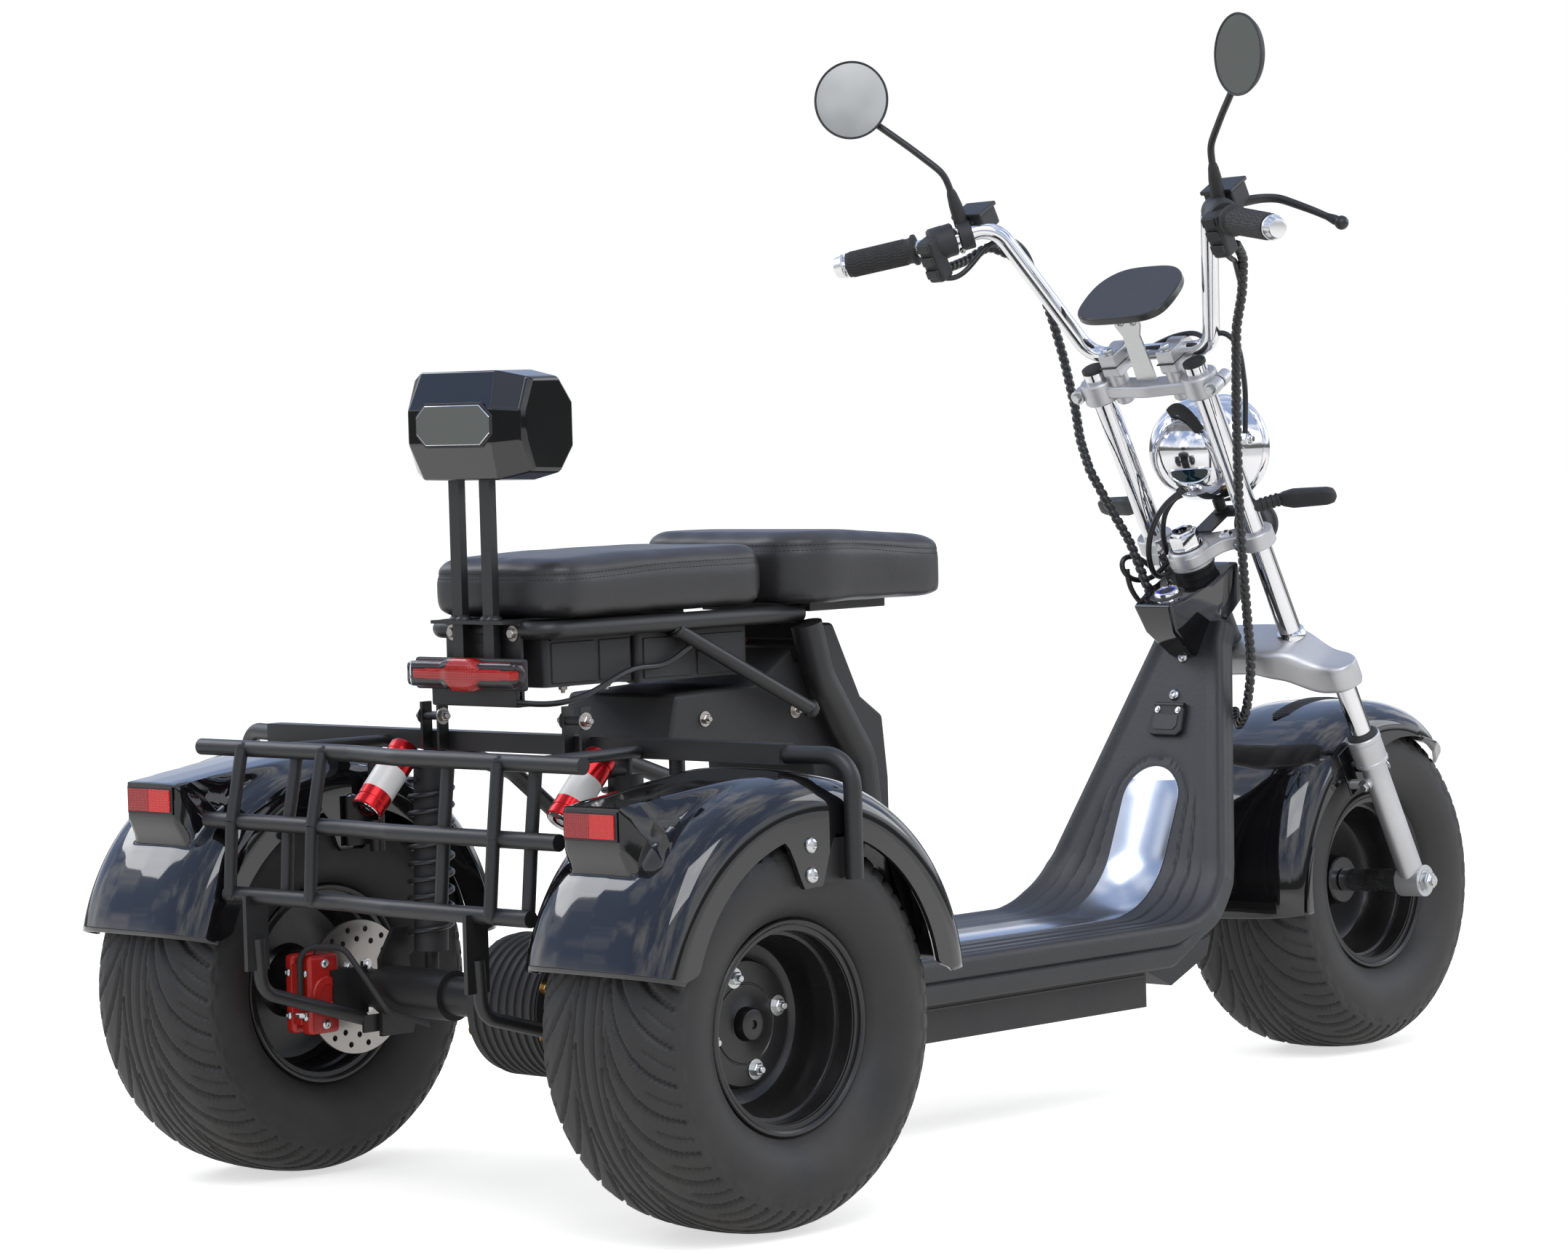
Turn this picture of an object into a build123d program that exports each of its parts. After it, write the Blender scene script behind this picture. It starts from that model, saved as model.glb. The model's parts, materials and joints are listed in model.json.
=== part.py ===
import os
from math import atan2, cos, degrees, pi, radians, sin, sqrt

from build123d import *

# A three-wheeled electric scooter with two wide tyres behind and one in a raked fork.
# Millimetres. X runs forward, Y to the left, Z up from the ground. Every place is first
# worked out with x = 0 at the rear axle, and MIDDLE_X moves the origin under the middle.

# Wheels and stance
TYRE_R = 225.0
TYRE_W = 209.0
TYRE_CROWN_W = 116.0
BEAD_R = 103.0
RIM_FLANGE_R = 117.0
RIM_W = 160.0
RIM_WALL = 4.0
TRACK = 758.0
HALF_TRACK = TRACK / 2
WHEELBASE = 1515.0
TAIL_REACH = 242.0
MIDDLE_X = (WHEELBASE + TYRE_R - TAIL_REACH) / 2
HUB_BORE_R = 14.1
AXLE_STUB_R = 14.0
FIT = 0.3

# Fork: the steering axis leans back by RAKE and passes behind the front axle
RAKE = 27.5
FORK_OFFSET = 33.0
REST_STEER = 4.0
FRONT_LIFT = 1.6
UPPER_LEG_Y = 81.0
UPPER_LEG_U = 41.0
UPPER_LEG_R = 15.0
LOWER_LEG_Y = 143.0
LOWER_LEG_R = 14.0
SLIDER_R = 17.0
SLIDER_COLLAR_R = 22.0
TOP_YOKE_W = 735.0
CAP_W = TOP_YOKE_W + 51
MID_YOKE_W = 520.0
LOWER_YOKE_W = 322.0
SLIDER_TOP_W = 226.0
FRONT_AXLE_R = 8.0

# Floor and leg shield
FLOOR_Z = 222.0
FLOOR_HALF_W = 165.0
FLOOR_REAR_X = 530.0
FLOOR_EDGE = 52.0
KNEE_X = 1052.0
SHIELD_TOP = (1243.0, 590.0)
SHIELD_TOP_HALF_W = 58.0
BOARD_T = 12.0
RIM_DEPTH = 26.0
BOX_BOTTOM_Z = 122.0

# Seat and rear frame
SEAT_TUBE_Z = 645.0
SEAT_TUBE_R = 10.5
SEAT_TUBE_Y = 92.0
ARCH_R = 19.0
ARCH_Y = 112.0
BRACE_R = 8.5
SEAT_Z = 657.3
BAR_Z = 515.0
BAR_X = 38.0
BAR_HALF = HALF_TRACK + 47
BAR_SIDE = 22.0
FENDER_C = (15.0, 244.0)
FENDER_R = 255.0
FENDER_HALF_W = 112.0
FENDER_OUT_Y = HALF_TRACK + FENDER_HALF_W
FENDER_IN_Y = HALF_TRACK - FENDER_HALF_W
FENDER_WALL = 2.5
FENDER_EDGE_R = 190.0
RAIL_R = 9.5
POST_R = 7.5


def tube(points, bend, radius):
    """A round bar along straight runs joined by arcs of one bend radius."""
    path = FilletPolyline(*points, radius=bend) if len(points) > 2 else Line(*points)
    return sweep(Plane(path @ 0, z_dir=path % 0) * Circle(radius), path=path)


def rod(start, end, radius):
    axis = Vector(*end) - Vector(*start)
    return Plane(start, z_dir=axis) * Cylinder(radius, axis.length, align=(Align.CENTER, Align.CENTER, Align.MIN))


def block(low, high, soft=0.0):
    """A box from its lowest to its highest corner, with rounded upright edges."""
    size = [h - l for l, h in zip(low, high)]
    solid = Pos(*[(l + h) / 2 for l, h in zip(low, high)]) * Box(*size)
    return fillet(solid.edges().filter_by(Axis.Z), soft) if soft else solid


def side_plate(points, y_low, y_high):
    """A plate cut to an outline in the XZ plane, from y_low to y_high."""
    face = Plane((0, y_high, 0), x_dir=(1, 0, 0), z_dir=(0, -1, 0)) * make_face(Polyline(*points, close=True))
    return extrude(face, y_high - y_low)


def turned(points):
    """A solid of revolution about the Y axis from (radius, y) corners."""
    face = make_face(Polyline(*[(r, y, 0) for r, y in points], close=True))
    return revolve(face, Axis.Y)


def mirrored(solid):
    return mirror(solid, Plane.XZ)


def pair(solid):
    return solid + mirrored(solid)


# The fork's own frame: u forward and square to the steering axis, y left, w up the axis
RAKE_COS = cos(radians(RAKE))
RAKE_SIN = sin(radians(RAKE))
FRONT_AXLE = Vector(WHEELBASE, 0, TYRE_R + FRONT_LIFT)
STEER_FOOT = FRONT_AXLE - Vector(RAKE_COS, 0, RAKE_SIN) * FORK_OFFSET
FORK = Plane(STEER_FOOT, x_dir=(RAKE_COS, 0, RAKE_SIN), z_dir=(-RAKE_SIN, 0, RAKE_COS)).location
TURN = FORK * Rot(0, 0, REST_STEER)
STRAIGHT = TURN * FORK.inverse()

parts = {}


def tyre():
    half = TYRE_W / 2
    crown = TYRE_CROWN_W / 2
    rim = RIM_W / 2 - 6
    outline = [Polyline((BEAD_R, -rim), (RIM_FLANGE_R + 1, -rim)),
               ThreePointArc((RIM_FLANGE_R + 1, -rim), (140, -half + 4), (170, -half)),
               ThreePointArc((170, -half), (207, -half + 17), (TYRE_R - 3, -crown)),
               ThreePointArc((TYRE_R - 3, -crown), (TYRE_R, 0), (TYRE_R - 3, crown)),
               ThreePointArc((TYRE_R - 3, crown), (207, half - 17), (170, half)),
               ThreePointArc((170, half), (140, half - 4), (RIM_FLANGE_R + 1, rim)),
               Polyline((RIM_FLANGE_R + 1, rim), (BEAD_R, rim), (BEAD_R, -rim))]
    return revolve(make_face(Wire(Curve() + outline)), Axis.Y)


def rim(outward, web_y, bore_r, hub_half):
    """A deep dish rim: barrel with two flanges, a web and a hub. outward is +1 or -1."""
    half = RIM_W / 2
    skin = BEAD_R - FIT
    barrel = turned([(skin - RIM_WALL, -half), (RIM_FLANGE_R, -half), (RIM_FLANGE_R, -half + 5),
                     (skin, -half + 5.7), (skin, half - 5.7), (RIM_FLANGE_R, half - 5),
                     (RIM_FLANGE_R, half), (skin - RIM_WALL, half)])
    web = turned([(bore_r, web_y - hub_half), (38, web_y - hub_half), (40, web_y - 3), (skin - 2, web_y - 3),
                  (skin - 2, web_y + 3), (72, web_y + 3), (69, web_y + 14), (40, web_y + 14),
                  (40, web_y + 18), (bore_r, web_y + 18)])
    return (barrel + web) if outward > 0 else mirror(barrel + web, Plane.XZ)


def wheel_place(body):
    places = {"front": TURN * Pos(FORK_OFFSET, 0, 0),
              "rear_left": Pos(0, HALF_TRACK, TYRE_R),
              "rear_right": Pos(0, -HALF_TRACK, TYRE_R)}
    return places[body]


for name, side in (("front", 1), ("rear_left", 1), ("rear_right", -1)):
    parts[name + "_tyre"] = wheel_place(name) * tyre()
    web_y, bore, hub_half = (0.0, FRONT_AXLE_R + 0.1, 30.0) if name == "front" else (-6.0, HUB_BORE_R, 60.0)
    parts[name + "_rim"] = wheel_place(name) * rim(side, web_y, bore, hub_half)

# Brake disc on the inner face of the left rear hub
DISC_Y = HALF_TRACK - 135
DISC_R = 78.0
DISC_T = 4.0
disc_face = Circle(DISC_R) - Circle(30)
disc = Plane((0, DISC_Y, TYRE_R), x_dir=(1, 0, 0), z_dir=(0, 1, 0)) * extrude(disc_face, DISC_T)
carrier = rod((0, DISC_Y, TYRE_R), (0, HALF_TRACK - 66 - FIT, TYRE_R), 34) - rod((0, DISC_Y - 1, TYRE_R), (0, HALF_TRACK, TYRE_R), HUB_BORE_R)
parts["brake_disc"] = disc + carrier

# Rear axle: a housing with stub ends that the wheels turn on, and a bracket at each side
AXLE_TUBE_R = 22.5
axle = rod((0, -DISC_Y + 29, TYRE_R), (0, DISC_Y - 18, TYRE_R), AXLE_TUBE_R)
axle += rod((0, 75, TYRE_R), (0, 193, TYRE_R), 29)
axle += rod((0, -HALF_TRACK + 4, TYRE_R), (0, HALF_TRACK - 4, TYRE_R), AXLE_STUB_R)
axle += side_plate([(-14, 172), (34, 172), (40, 200), (30, 262), (66, 284), (60, 296), (8, 296), (-14, 262)], 187, 193)
axle += block((-14, -196, 172), (34, -190, 215)) + block((-62, DISC_Y - 29, 198), (-10, DISC_Y - 22.3, 252))
parts["axle_housing"] = axle

# Motor and gearbox around the axle, right of the middle
drive = rod((0, -140, TYRE_R), (0, -30, TYRE_R), 78)
drive += rod((0, -158, TYRE_R), (0, -12, TYRE_R), 60)
drive += rod((95, -158, TYRE_R + 10), (95, 20, TYRE_R + 10), 62)
drive += block((0, -140, TYRE_R - 50), (95, -30, TYRE_R + 60))
drive -= rod((0, -300, TYRE_R), (0, 300, TYRE_R), AXLE_TUBE_R + FIT)
parts["drive_unit"] = drive

# Square cross bar over the rear wheels: bent round ends and two hangers hold the fenders
cross_bar = block((BAR_X - BAR_SIDE / 2, -BAR_HALF, BAR_Z - BAR_SIDE / 2), (BAR_X + BAR_SIDE / 2, BAR_HALF, BAR_Z + BAR_SIDE / 2))
END_Y = FENDER_OUT_Y + 11
end_tube = tube([(BAR_X, BAR_HALF - 10, BAR_Z - 1), (BAR_X + 22, END_Y, BAR_Z - 1), (BAR_X + 22, END_Y, 382)], 34, 10)
end_tube += block((-8, FENDER_OUT_Y - 2.3, 380), (BAR_X + 16, FENDER_OUT_Y - 0.2, 427))
end_tube += block((BAR_X + 10, FENDER_OUT_Y - 2.3, 384), (BAR_X + 20, FENDER_OUT_Y + 5, 427))
hanger = rod((BAR_X + 6, FENDER_IN_Y - 15, 380), (BAR_X + 6, FENDER_IN_Y - 15, BAR_Z), 9)
hanger += block((6, FENDER_IN_Y - 6.7, 388), (BAR_X + 8, FENDER_IN_Y - 3.3, 446))
ear = block((BAR_X - 26, 102.5, BAR_Z - 10), (BAR_X - 11, 106.5, 560)) + block((BAR_X - 26, 130.5, BAR_Z - 10), (BAR_X - 11, 134.5, 560))
ear += rod((BAR_X - 20, 97, 544), (BAR_X - 20, 138, 544), 5)
cross_bar += pair(end_tube + hanger + ear)
parts["cross_bar"] = cross_bar

# Main frame: two fat arched tubes, stays to the cross bar, floor rails, down tubes, head tube
HEAD_LOW_W = 392.0
HEAD_HIGH_W = MID_YOKE_W - 12
HEAD_MIDDLE_W = (HEAD_LOW_W + HEAD_HIGH_W) / 2
HEAD_LENGTH = HEAD_HIGH_W - HEAD_LOW_W
HEAD_R = 26.0
HEAD_BORE_R = 15.2
DOWN_R = 11.0
RAIL_Z = FLOOR_Z - BOARD_T - DOWN_R - 0.5
LEAN = atan2(SHIELD_TOP[0] - KNEE_X - 40, SHIELD_TOP[1] - FLOOR_Z)


def board_points(offset, y_floor=0.0, y_top=0.0):
    """Rear end, knee corner and top end of a line below the floor's face by one offset."""
    knee_x = KNEE_X + 40 + offset * (1 - sin(LEAN)) / cos(LEAN)
    return [(FLOOR_REAR_X, y_floor, FLOOR_Z - offset), (knee_x, y_floor, FLOOR_Z - offset),
            (SHIELD_TOP[0] + offset * cos(LEAN), y_top, SHIELD_TOP[1] - offset * sin(LEAN))]


KNEE_R = 120.0
arch_line = [(400, ARCH_Y, SEAT_TUBE_Z - 12), (418, ARCH_Y, 570), (486, ARCH_Y, 470), (508, ARCH_Y, 300), (508, ARCH_Y, 184)]
side_frame = tube(arch_line, 60, ARCH_R)
side_frame += tube([(505, ARCH_Y, 330), (330, ARCH_Y + 20, 330), (150, ARCH_Y + 20, 470), (BAR_X + 4, ARCH_Y + 20, BAR_Z - 7)], 50, 10)
side_frame += rod((508, 95, RAIL_Z), (1010, 95, RAIL_Z), DOWN_R)
_, knee, top_end = board_points(BOARD_T + 0.5 + DOWN_R, 60, 15)
side_frame += tube([(940, 60, RAIL_Z), knee, top_end], KNEE_R + BOARD_T + 0.5 + DOWN_R, DOWN_R)
frame = pair(side_frame)
for x, y, z, r in ((410, ARCH_Y, 600, 14), (497, ARCH_Y, 380, 14), (560, 95, RAIL_Z, 9), (760, 95, RAIL_Z, 9), (950, 95, RAIL_Z, 9)):
    frame += rod((x, -y, z), (x, y, z), r)
frame += FORK * (Pos(0, 0, HEAD_MIDDLE_W) * Cylinder(HEAD_R, HEAD_LENGTH))
frame -= FORK * (Pos(0, 0, HEAD_MIDDLE_W) * Cylinder(HEAD_BORE_R, HEAD_LENGTH + 80))
frame -= cross_bar
parts["main_frame"] = frame


# Floor and leg shield in one moulding, with a deeper rim along its edges
def board_sheet(front, back):
    """Side outline of the moulding between two offsets from its upper face."""
    upper = FilletPolyline(*board_points(front), radius=KNEE_R + front)
    lower = FilletPolyline(*board_points(back), radius=KNEE_R + back)
    return make_face(Wire(Curve() + [upper, lower, Line(upper @ 0, lower @ 0), Line(upper @ 1, lower @ 1)]))


def plan_column(inset):
    """The moulding's outline seen from above, drawn in by an inset, as a tall column."""
    half = [(FLOOR_REAR_X - 5, 0), (FLOOR_REAR_X - 5, FLOOR_HALF_W - inset), (KNEE_X, FLOOR_HALF_W - inset),
            (KNEE_X + 60, 152 - inset), (SHIELD_TOP[0] - 10, SHIELD_TOP_HALF_W - inset),
            (SHIELD_TOP[0] + 90, SHIELD_TOP_HALF_W - 10 - inset), (SHIELD_TOP[0] + 90, 0)]
    return pair(extrude(make_face(Polyline(*half, close=True)), 700))


column = plan_column(0)
board = extrude(board_sheet(0, BOARD_T), FLOOR_HALF_W + 5, both=True) & column
board += extrude(board_sheet(0, RIM_DEPTH), FLOOR_HALF_W + 5, both=True) & (column - plan_column(13))
board += pair(block((FLOOR_REAR_X, 150, FLOOR_Z - FLOOR_EDGE), (KNEE_X - 30, FLOOR_HALF_W, FLOOR_Z - 5)))
board -= frame
board -= FORK * (Pos(0, 0, HEAD_MIDDLE_W) * Cylinder(HEAD_R + FIT, HEAD_LENGTH + 44))
parts["footboard"] = board

STRIP_HALF_W = 47.0
STRIP_TOP_Z = 405.0
strip = extrude(board_sheet(-1.5, 0), STRIP_HALF_W, both=True)
strip &= block((FLOOR_REAR_X + 30, -60, 0), (1400, 60, STRIP_TOP_Z))
parts["floor_strip"] = strip

BOX_TOP_Z = 183.5
parts["battery_box"] = block((490, -140, BOX_BOTTOM_Z), (972, 140, BOX_TOP_Z), 8)
skirt = side_plate([(980, 168), (1040, 140), (1112, 172), (1120, 196), (1080, 187.2), (980, 187.2)], -120, 120)
parts["front_skirt"] = skirt

# Head cover: a wedge over the head tube with a round start button in its sloping top
cover_outline = [(u, HEAD_HIGH_W - below) for u, below in ((-79, 92), (-104, 40), (-102, 1), (-30, 9), (30, 9), (34, 66), (-38, 58))]
cover_face = Plane((0, 50, 0), x_dir=(1, 0, 0), z_dir=(0, -1, 0)) * make_face(Polyline(*cover_outline, close=True))
cover = FORK * (extrude(cover_face, 100) - Pos(0, 0, HEAD_MIDDLE_W) * Cylinder(HEAD_R + FIT, HEAD_LENGTH + 84))
parts["head_cover"] = cover - board - frame
button = Plane((-66, 0, HEAD_HIGH_W - 4.7), z_dir=(0.11, 0, 1)) * (Pos(0, 0, 3) * Cylinder(15, 5))
parts["start_button"] = FORK * button

# Charging flap on the leg shield, over the floor strip
flap_z = 462.0
flap_x = KNEE_X + 40 + (flap_z - FLOOR_Z) * sin(LEAN) / cos(LEAN)
flap_plane = Plane((flap_x, 0, flap_z), x_dir=(0, 1, 0), z_dir=(-cos(LEAN), 0, sin(LEAN)))
parts["charge_flap"] = flap_plane * (Pos(0, 0, 3.2) * Box(58, 40, 6))

# Seat frame: two tubes under the cushions, a rear plate and a brace on each side
seat_tube = tube([(0, 0, SEAT_TUBE_Z), (0, SEAT_TUBE_Y, SEAT_TUBE_Z), (400, SEAT_TUBE_Y + 10, SEAT_TUBE_Z)], 22, SEAT_TUBE_R)
brace = rod((196, SEAT_TUBE_Y + 4, SEAT_TUBE_Z - 6), (404, ARCH_Y + 6, 530), BRACE_R)
seat_frame = pair(seat_tube + brace)
seat_frame += block((-9, -62, 588), (-5, 62, SEAT_TUBE_Z + 8))
seat_frame += block((-34, -60, SEAT_TUBE_Z + 8), (6, 60, SEAT_TUBE_Z + 12))
seat_frame += block((-24, -70, 560), (-20, 70, 600)) + block((-20, -70, 560), (-5, 70, 563)) + block((-9, -62, 562), (-5, 62, 590))
bars = pair(block((-24, 17, 604), (-14, 34, 830)))
parts["seat_frame"] = seat_frame - bars - frame

# Under-seat battery case and the moulded cover between the arch tubes
case = block((12, -78, 580), (150, 78, 650), 6) + block((150, -84, 578), (330, 84, 634), 6) + block((20, -81.2, 632), (300, 81.2, 650))
parts["seat_box"] = case
inner = side_plate([(190, 500), (205, 560), (334, 565), (440, 630), (470, 630), (515, 540), (552, 515), (560, 440), (560, 240),
                    (440, 240), (430, 470)], -90, 90)
parts["inner_cover"] = inner - rod((410, -200, 600), (410, 200, 600), 14.3) - rod((497, -200, 380), (497, 200, 380), 14.3)

# Cushions
rear_pad = block((-2, -118, SEAT_Z), (352, 118, SEAT_Z + 72), 34)
rear_pad = fillet(rear_pad.faces().sort_by(Axis.Z)[-1].edges(), 14)
parts["rear_cushion"] = rear_pad
front_pad = block((352.3, -150, SEAT_Z - 1.5), (640, 150, SEAT_Z + 84), 60)
front_pad = fillet(front_pad.faces().sort_by(Axis.Z)[-1].edges(), 16)
parts["front_cushion"] = front_pad

# Backrest: two flat bars and an eight-sided shell
parts["backrest_bars"] = bars
shell_half_w = 96.0
shell_face = [(-35, -60), (-50, -20), (-50, 20), (-35, 62), (20, 62), (45, 30), (45, -30), (20, -62)]
parts["backrest_shell"] = Pos(0, 0, 875) * side_plate([(x, z) for x, z in shell_face], -shell_half_w, shell_half_w)
parts["backrest_window"] = block((-53, -52, 856), (-50.2, 52, 896))
parts["backrest_shell"] -= bars
lamp = block((-52, -92, 578), (-24.3, 92, 616), 12)
parts["tail_lamp"] = lamp

# Rear fenders: a U section turned about FENDER_C, with a hood that carries the reflector
cx, cz = FENDER_C


def u_section(radius, half, edge):
    """One half of a wheel arch's section, as (radius, y) corners from its free edge."""
    return [(edge, half), (radius - 22, half), (radius - 6, half - 20), (radius, half - 56)]


def arch_shell(radius, half, edge, wall, start, end):
    outer = u_section(radius, half, edge)
    inner = [(r - wall if i > 1 else r, y - wall if i < 2 else y - wall * 0.6) for i, (r, y) in enumerate(outer)]
    right = [(r, -y) for r, y in reversed(outer)]
    right_inner = [(r, -y) for r, y in reversed(inner)]
    ring = outer + right + [right_inner[i] for i in range(len(right_inner) - 1, -1, -1)] + [inner[i] for i in range(len(inner) - 1, -1, -1)]
    face = make_face(Polyline(*[(r, y, 0) for r, y in ring], close=True))
    return Rot(0, -start, 0) * revolve(face, Axis.Y, -(end - start))


def rear_fender(side):
    shell = arch_shell(FENDER_R, FENDER_HALF_W, FENDER_EDGE_R, FENDER_WALL, 6, 167)
    shell = Pos(cx, side * HALF_TRACK, cz) * shell
    hood_y = side * (HALF_TRACK - 12)
    hood = side_plate([(-199, 432), (-199, 474), (20, 502), (20, 470), (-120, 420)], hood_y - 45, hood_y + 45)
    hood -= Pos(cx, side * HALF_TRACK, cz) * (Rot(90, 0, 0) * Cylinder(FENDER_R - 1, 400))
    flaps = side_plate([(-14, 376), (26, 376), (34, 442), (-30, 442)], FENDER_OUT_Y, FENDER_OUT_Y + 3)
    flaps += side_plate([(-30, 438), (34, 438), (30, 456), (-26, 456)], FENDER_OUT_Y - 1.5, FENDER_OUT_Y + 3)
    flaps += side_plate([(0, 384), (36, 384), (44, 452), (-8, 452)], FENDER_IN_Y - 3, FENDER_IN_Y + 1)
    return shell + hood + (flaps if side > 0 else mirrored(flaps))


for name, side in (("left", 1), ("right", -1)):
    parts["rear_fender_" + name] = rear_fender(side)
reflector = block((-203, HALF_TRACK - 52, 438), (-199.3, HALF_TRACK + 29, 470))
parts["reflectors"] = pair(reflector)

# Rear rack: three rails stepped back at the right, with posts on both of their sides
RAIL_ROWS = [(-152.0, -172.0, HALF_TRACK - 49, 514.0), (-170.0, -182.0, HALF_TRACK - 79, 432.0), (-176.0, -190.0, FENDER_IN_Y - 6, 349.0)]
POSTS = [(FENDER_IN_Y - 19, -8.0), (168.0, 8.0), (108.0, -8.0), (-108.0, 8.0), (-205.0, -8.0), (-FENDER_IN_Y + 19, 8.0)]
rack = None
for left_x, right_x, half, z in RAIL_ROWS:
    rail = tube([(right_x, -half, z), (right_x, -30, z), (left_x, 60, z), (left_x, half, z)], 60, RAIL_R)
    rack = rail if rack is None else rack + rail
for (l0, r0, _, z0), (l1, r1, _, z1) in zip(RAIL_ROWS, RAIL_ROWS[1:]):
    for y, set_off in POSTS:
        x0, x1 = (l0, l1) if y > 0 else (r0, r1)
        rack += rod((x0 + set_off, y, z0), (x1 + set_off, y, z1), POST_R)
for x, y in ((-152.0, 228.0), (-172.0, -228.0)):
    rack += rod((x, y, 512), (BAR_X, y * 0.92, BAR_Z - 3), 7)
for x, y, inward in ((-176.0, 214.0, -1), (-190.0, -172.0, 1)):
    rack += block((x - 16, y - 3, 264), (x + 16, y + 3, 350))
    end_y = 201.5 if y > 0 else -181.5
    rack += tube([(x + 2, y, 300), (x + 6, y, 238), (-30, end_y, 194)], 26, 8)
    rack += block((-36, end_y - 8, 178), (28, end_y - 4, 198))
parts["rear_rack"] = rack - cross_bar

# Rear shocks with a red canister hung beside each, and the brake caliper with its hose
for index, (y, lean) in enumerate(((152.0, -4.0), (-182.0, 6.0))):
    shock = rod((34, y, 270), (38, y + lean, 484), 20) + rod((34, y, 246), (38, y + lean, 503.6), 8)
    shock += rod((0, y + lean, 489), (38, y + lean, 489), 7)
    canister = rod((-62, y + lean, 440), (2, y + lean, 507), 19)
    if index == 0:
        shocks, canisters = shock, canister
    else:
        shocks, canisters = shocks + shock, canisters + canister
parts["rear_shocks"] = shocks - canisters - axle
parts["shock_canisters"] = canisters
caliper = block((-92, DISC_Y - 22, TYRE_R - 46), (-46, DISC_Y - 3.5, TYRE_R + 46), 5)
caliper += block((-92, DISC_Y + 7.5, TYRE_R - 46), (-46, DISC_Y + 24, TYRE_R + 46), 5)
caliper += block((-92, DISC_Y - 4, TYRE_R - 46), (-82, DISC_Y + 8, TYRE_R + 46))
parts["brake_caliper"] = caliper
parts["brake_hose"] = tube([(-98, DISC_Y - 12, 215), (-98, DISC_Y - 12, 282), (-50, DISC_Y - 34, 278), (-36, 150, 205), (-36, 76, 196)], 18, 3.5)

# Everything from here on is laid out in the fork's own frame, wheels straight ahead
steered = {}


def upright(u, v, low, high, radius):
    return Pos(u, v, (low + high) / 2) * Cylinder(radius, high - low)


def slab(outline, low, high):
    """A plate square to the steering axis, from its outline in u and v."""
    return Pos(0, 0, low) * extrude(make_face(Polyline(*outline, close=True)), high - low)


# Legs: chrome upper tubes inboard, short lower tubes and cast sliders outboard
legs = pair(upright(UPPER_LEG_U, UPPER_LEG_Y, LOWER_YOKE_W + 30, CAP_W - 6, UPPER_LEG_R))
steered["fork_caps"] = pair(upright(UPPER_LEG_U, UPPER_LEG_Y, CAP_W - 6, CAP_W, UPPER_LEG_R - 1))
lower_legs = pair(upright(FORK_OFFSET, LOWER_LEG_Y, SLIDER_TOP_W - 30, LOWER_YOKE_W + 6, LOWER_LEG_R))
steered["fork_tubes"] = legs + lower_legs
slider = upright(FORK_OFFSET, LOWER_LEG_Y, 0, SLIDER_TOP_W, SLIDER_R)
slider += upright(FORK_OFFSET, LOWER_LEG_Y, 186, SLIDER_TOP_W, SLIDER_COLLAR_R)
slider += rod((FORK_OFFSET, LOWER_LEG_Y - 18, 0), (FORK_OFFSET, LOWER_LEG_Y + 18, 0), 21)
slider += rod((FORK_OFFSET - 26, LOWER_LEG_Y - 4, 164), (FORK_OFFSET + 26, LOWER_LEG_Y - 4, 164), 7)
for u in (FORK_OFFSET - 21, FORK_OFFSET + 21):
    slider += rod((u, 116.2, 164), (u, LOWER_LEG_Y, 164), 6.5)
slider -= upright(FORK_OFFSET, LOWER_LEG_Y, SLIDER_TOP_W - 31, SLIDER_TOP_W + 1, LOWER_LEG_R)
slider -= rod((FORK_OFFSET, LOWER_LEG_Y - 40, 0), (FORK_OFFSET, LOWER_LEG_Y + 40, 0), FRONT_AXLE_R)
steered["fork_sliders"] = pair(slider)
axle_bolt = rod((FORK_OFFSET, -168, 0), (FORK_OFFSET, 168, 0), FRONT_AXLE_R)
axle_bolt += pair(rod((FORK_OFFSET, LOWER_LEG_Y + 18.2, 0), (FORK_OFFSET, LOWER_LEG_Y + 25, 0), 13))
axle_bolt += pair(rod((FORK_OFFSET, 32, 0), (FORK_OFFSET, LOWER_LEG_Y - 18.2, 0), 15))
steered["front_axle"] = axle_bolt

# Lower yoke casting: an arched bridge with the stem in its middle
yoke_section = [(-150, 306), (-150, 342), (-121, 352), (-102, 374), (-40, 384), (40, 384), (102, 374), (121, 352),
                (150, 342), (150, 306), (122, 304), (84, 332), (40, 346), (-40, 346), (-84, 332), (-122, 304)]
yoke_face = Plane((-18, 0, 0), x_dir=(0, 1, 0), z_dir=(1, 0, 0)) * make_face(Polyline(*yoke_section, close=True))
casting = extrude(yoke_face, 88)
casting += pair(upright(FORK_OFFSET, LOWER_LEG_Y, LOWER_YOKE_W - 22, 338, 26))
casting = casting - legs - lower_legs
steered["lower_yoke"] = casting + upright(0, 0, 370, MID_YOKE_W + 30, 15)

# Mid yoke plate with its collars and the stem nut
mid = slab([(-26, -26), (-26, 26), (20, 34), (24, 84), (64, 84), (64, -84), (24, -84), (20, -34)], MID_YOKE_W - 6, MID_YOKE_W + 12)
mid += pair(upright(UPPER_LEG_U, UPPER_LEG_Y, MID_YOKE_W - 7, MID_YOKE_W + 15, 24))
mid += upright(0, 0, MID_YOKE_W - 6, MID_YOKE_W + 20, 28)
mid = mid - legs - upright(0, 0, MID_YOKE_W - 40, MID_YOKE_W + 40, 15)
steered["mid_yoke"] = mid
steered["stem_nut"] = upright(0, 0, MID_YOKE_W + 20.3, MID_YOKE_W + 42, 22) - upright(0, 0, MID_YOKE_W - 20, MID_YOKE_W + 30, 15)

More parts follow.
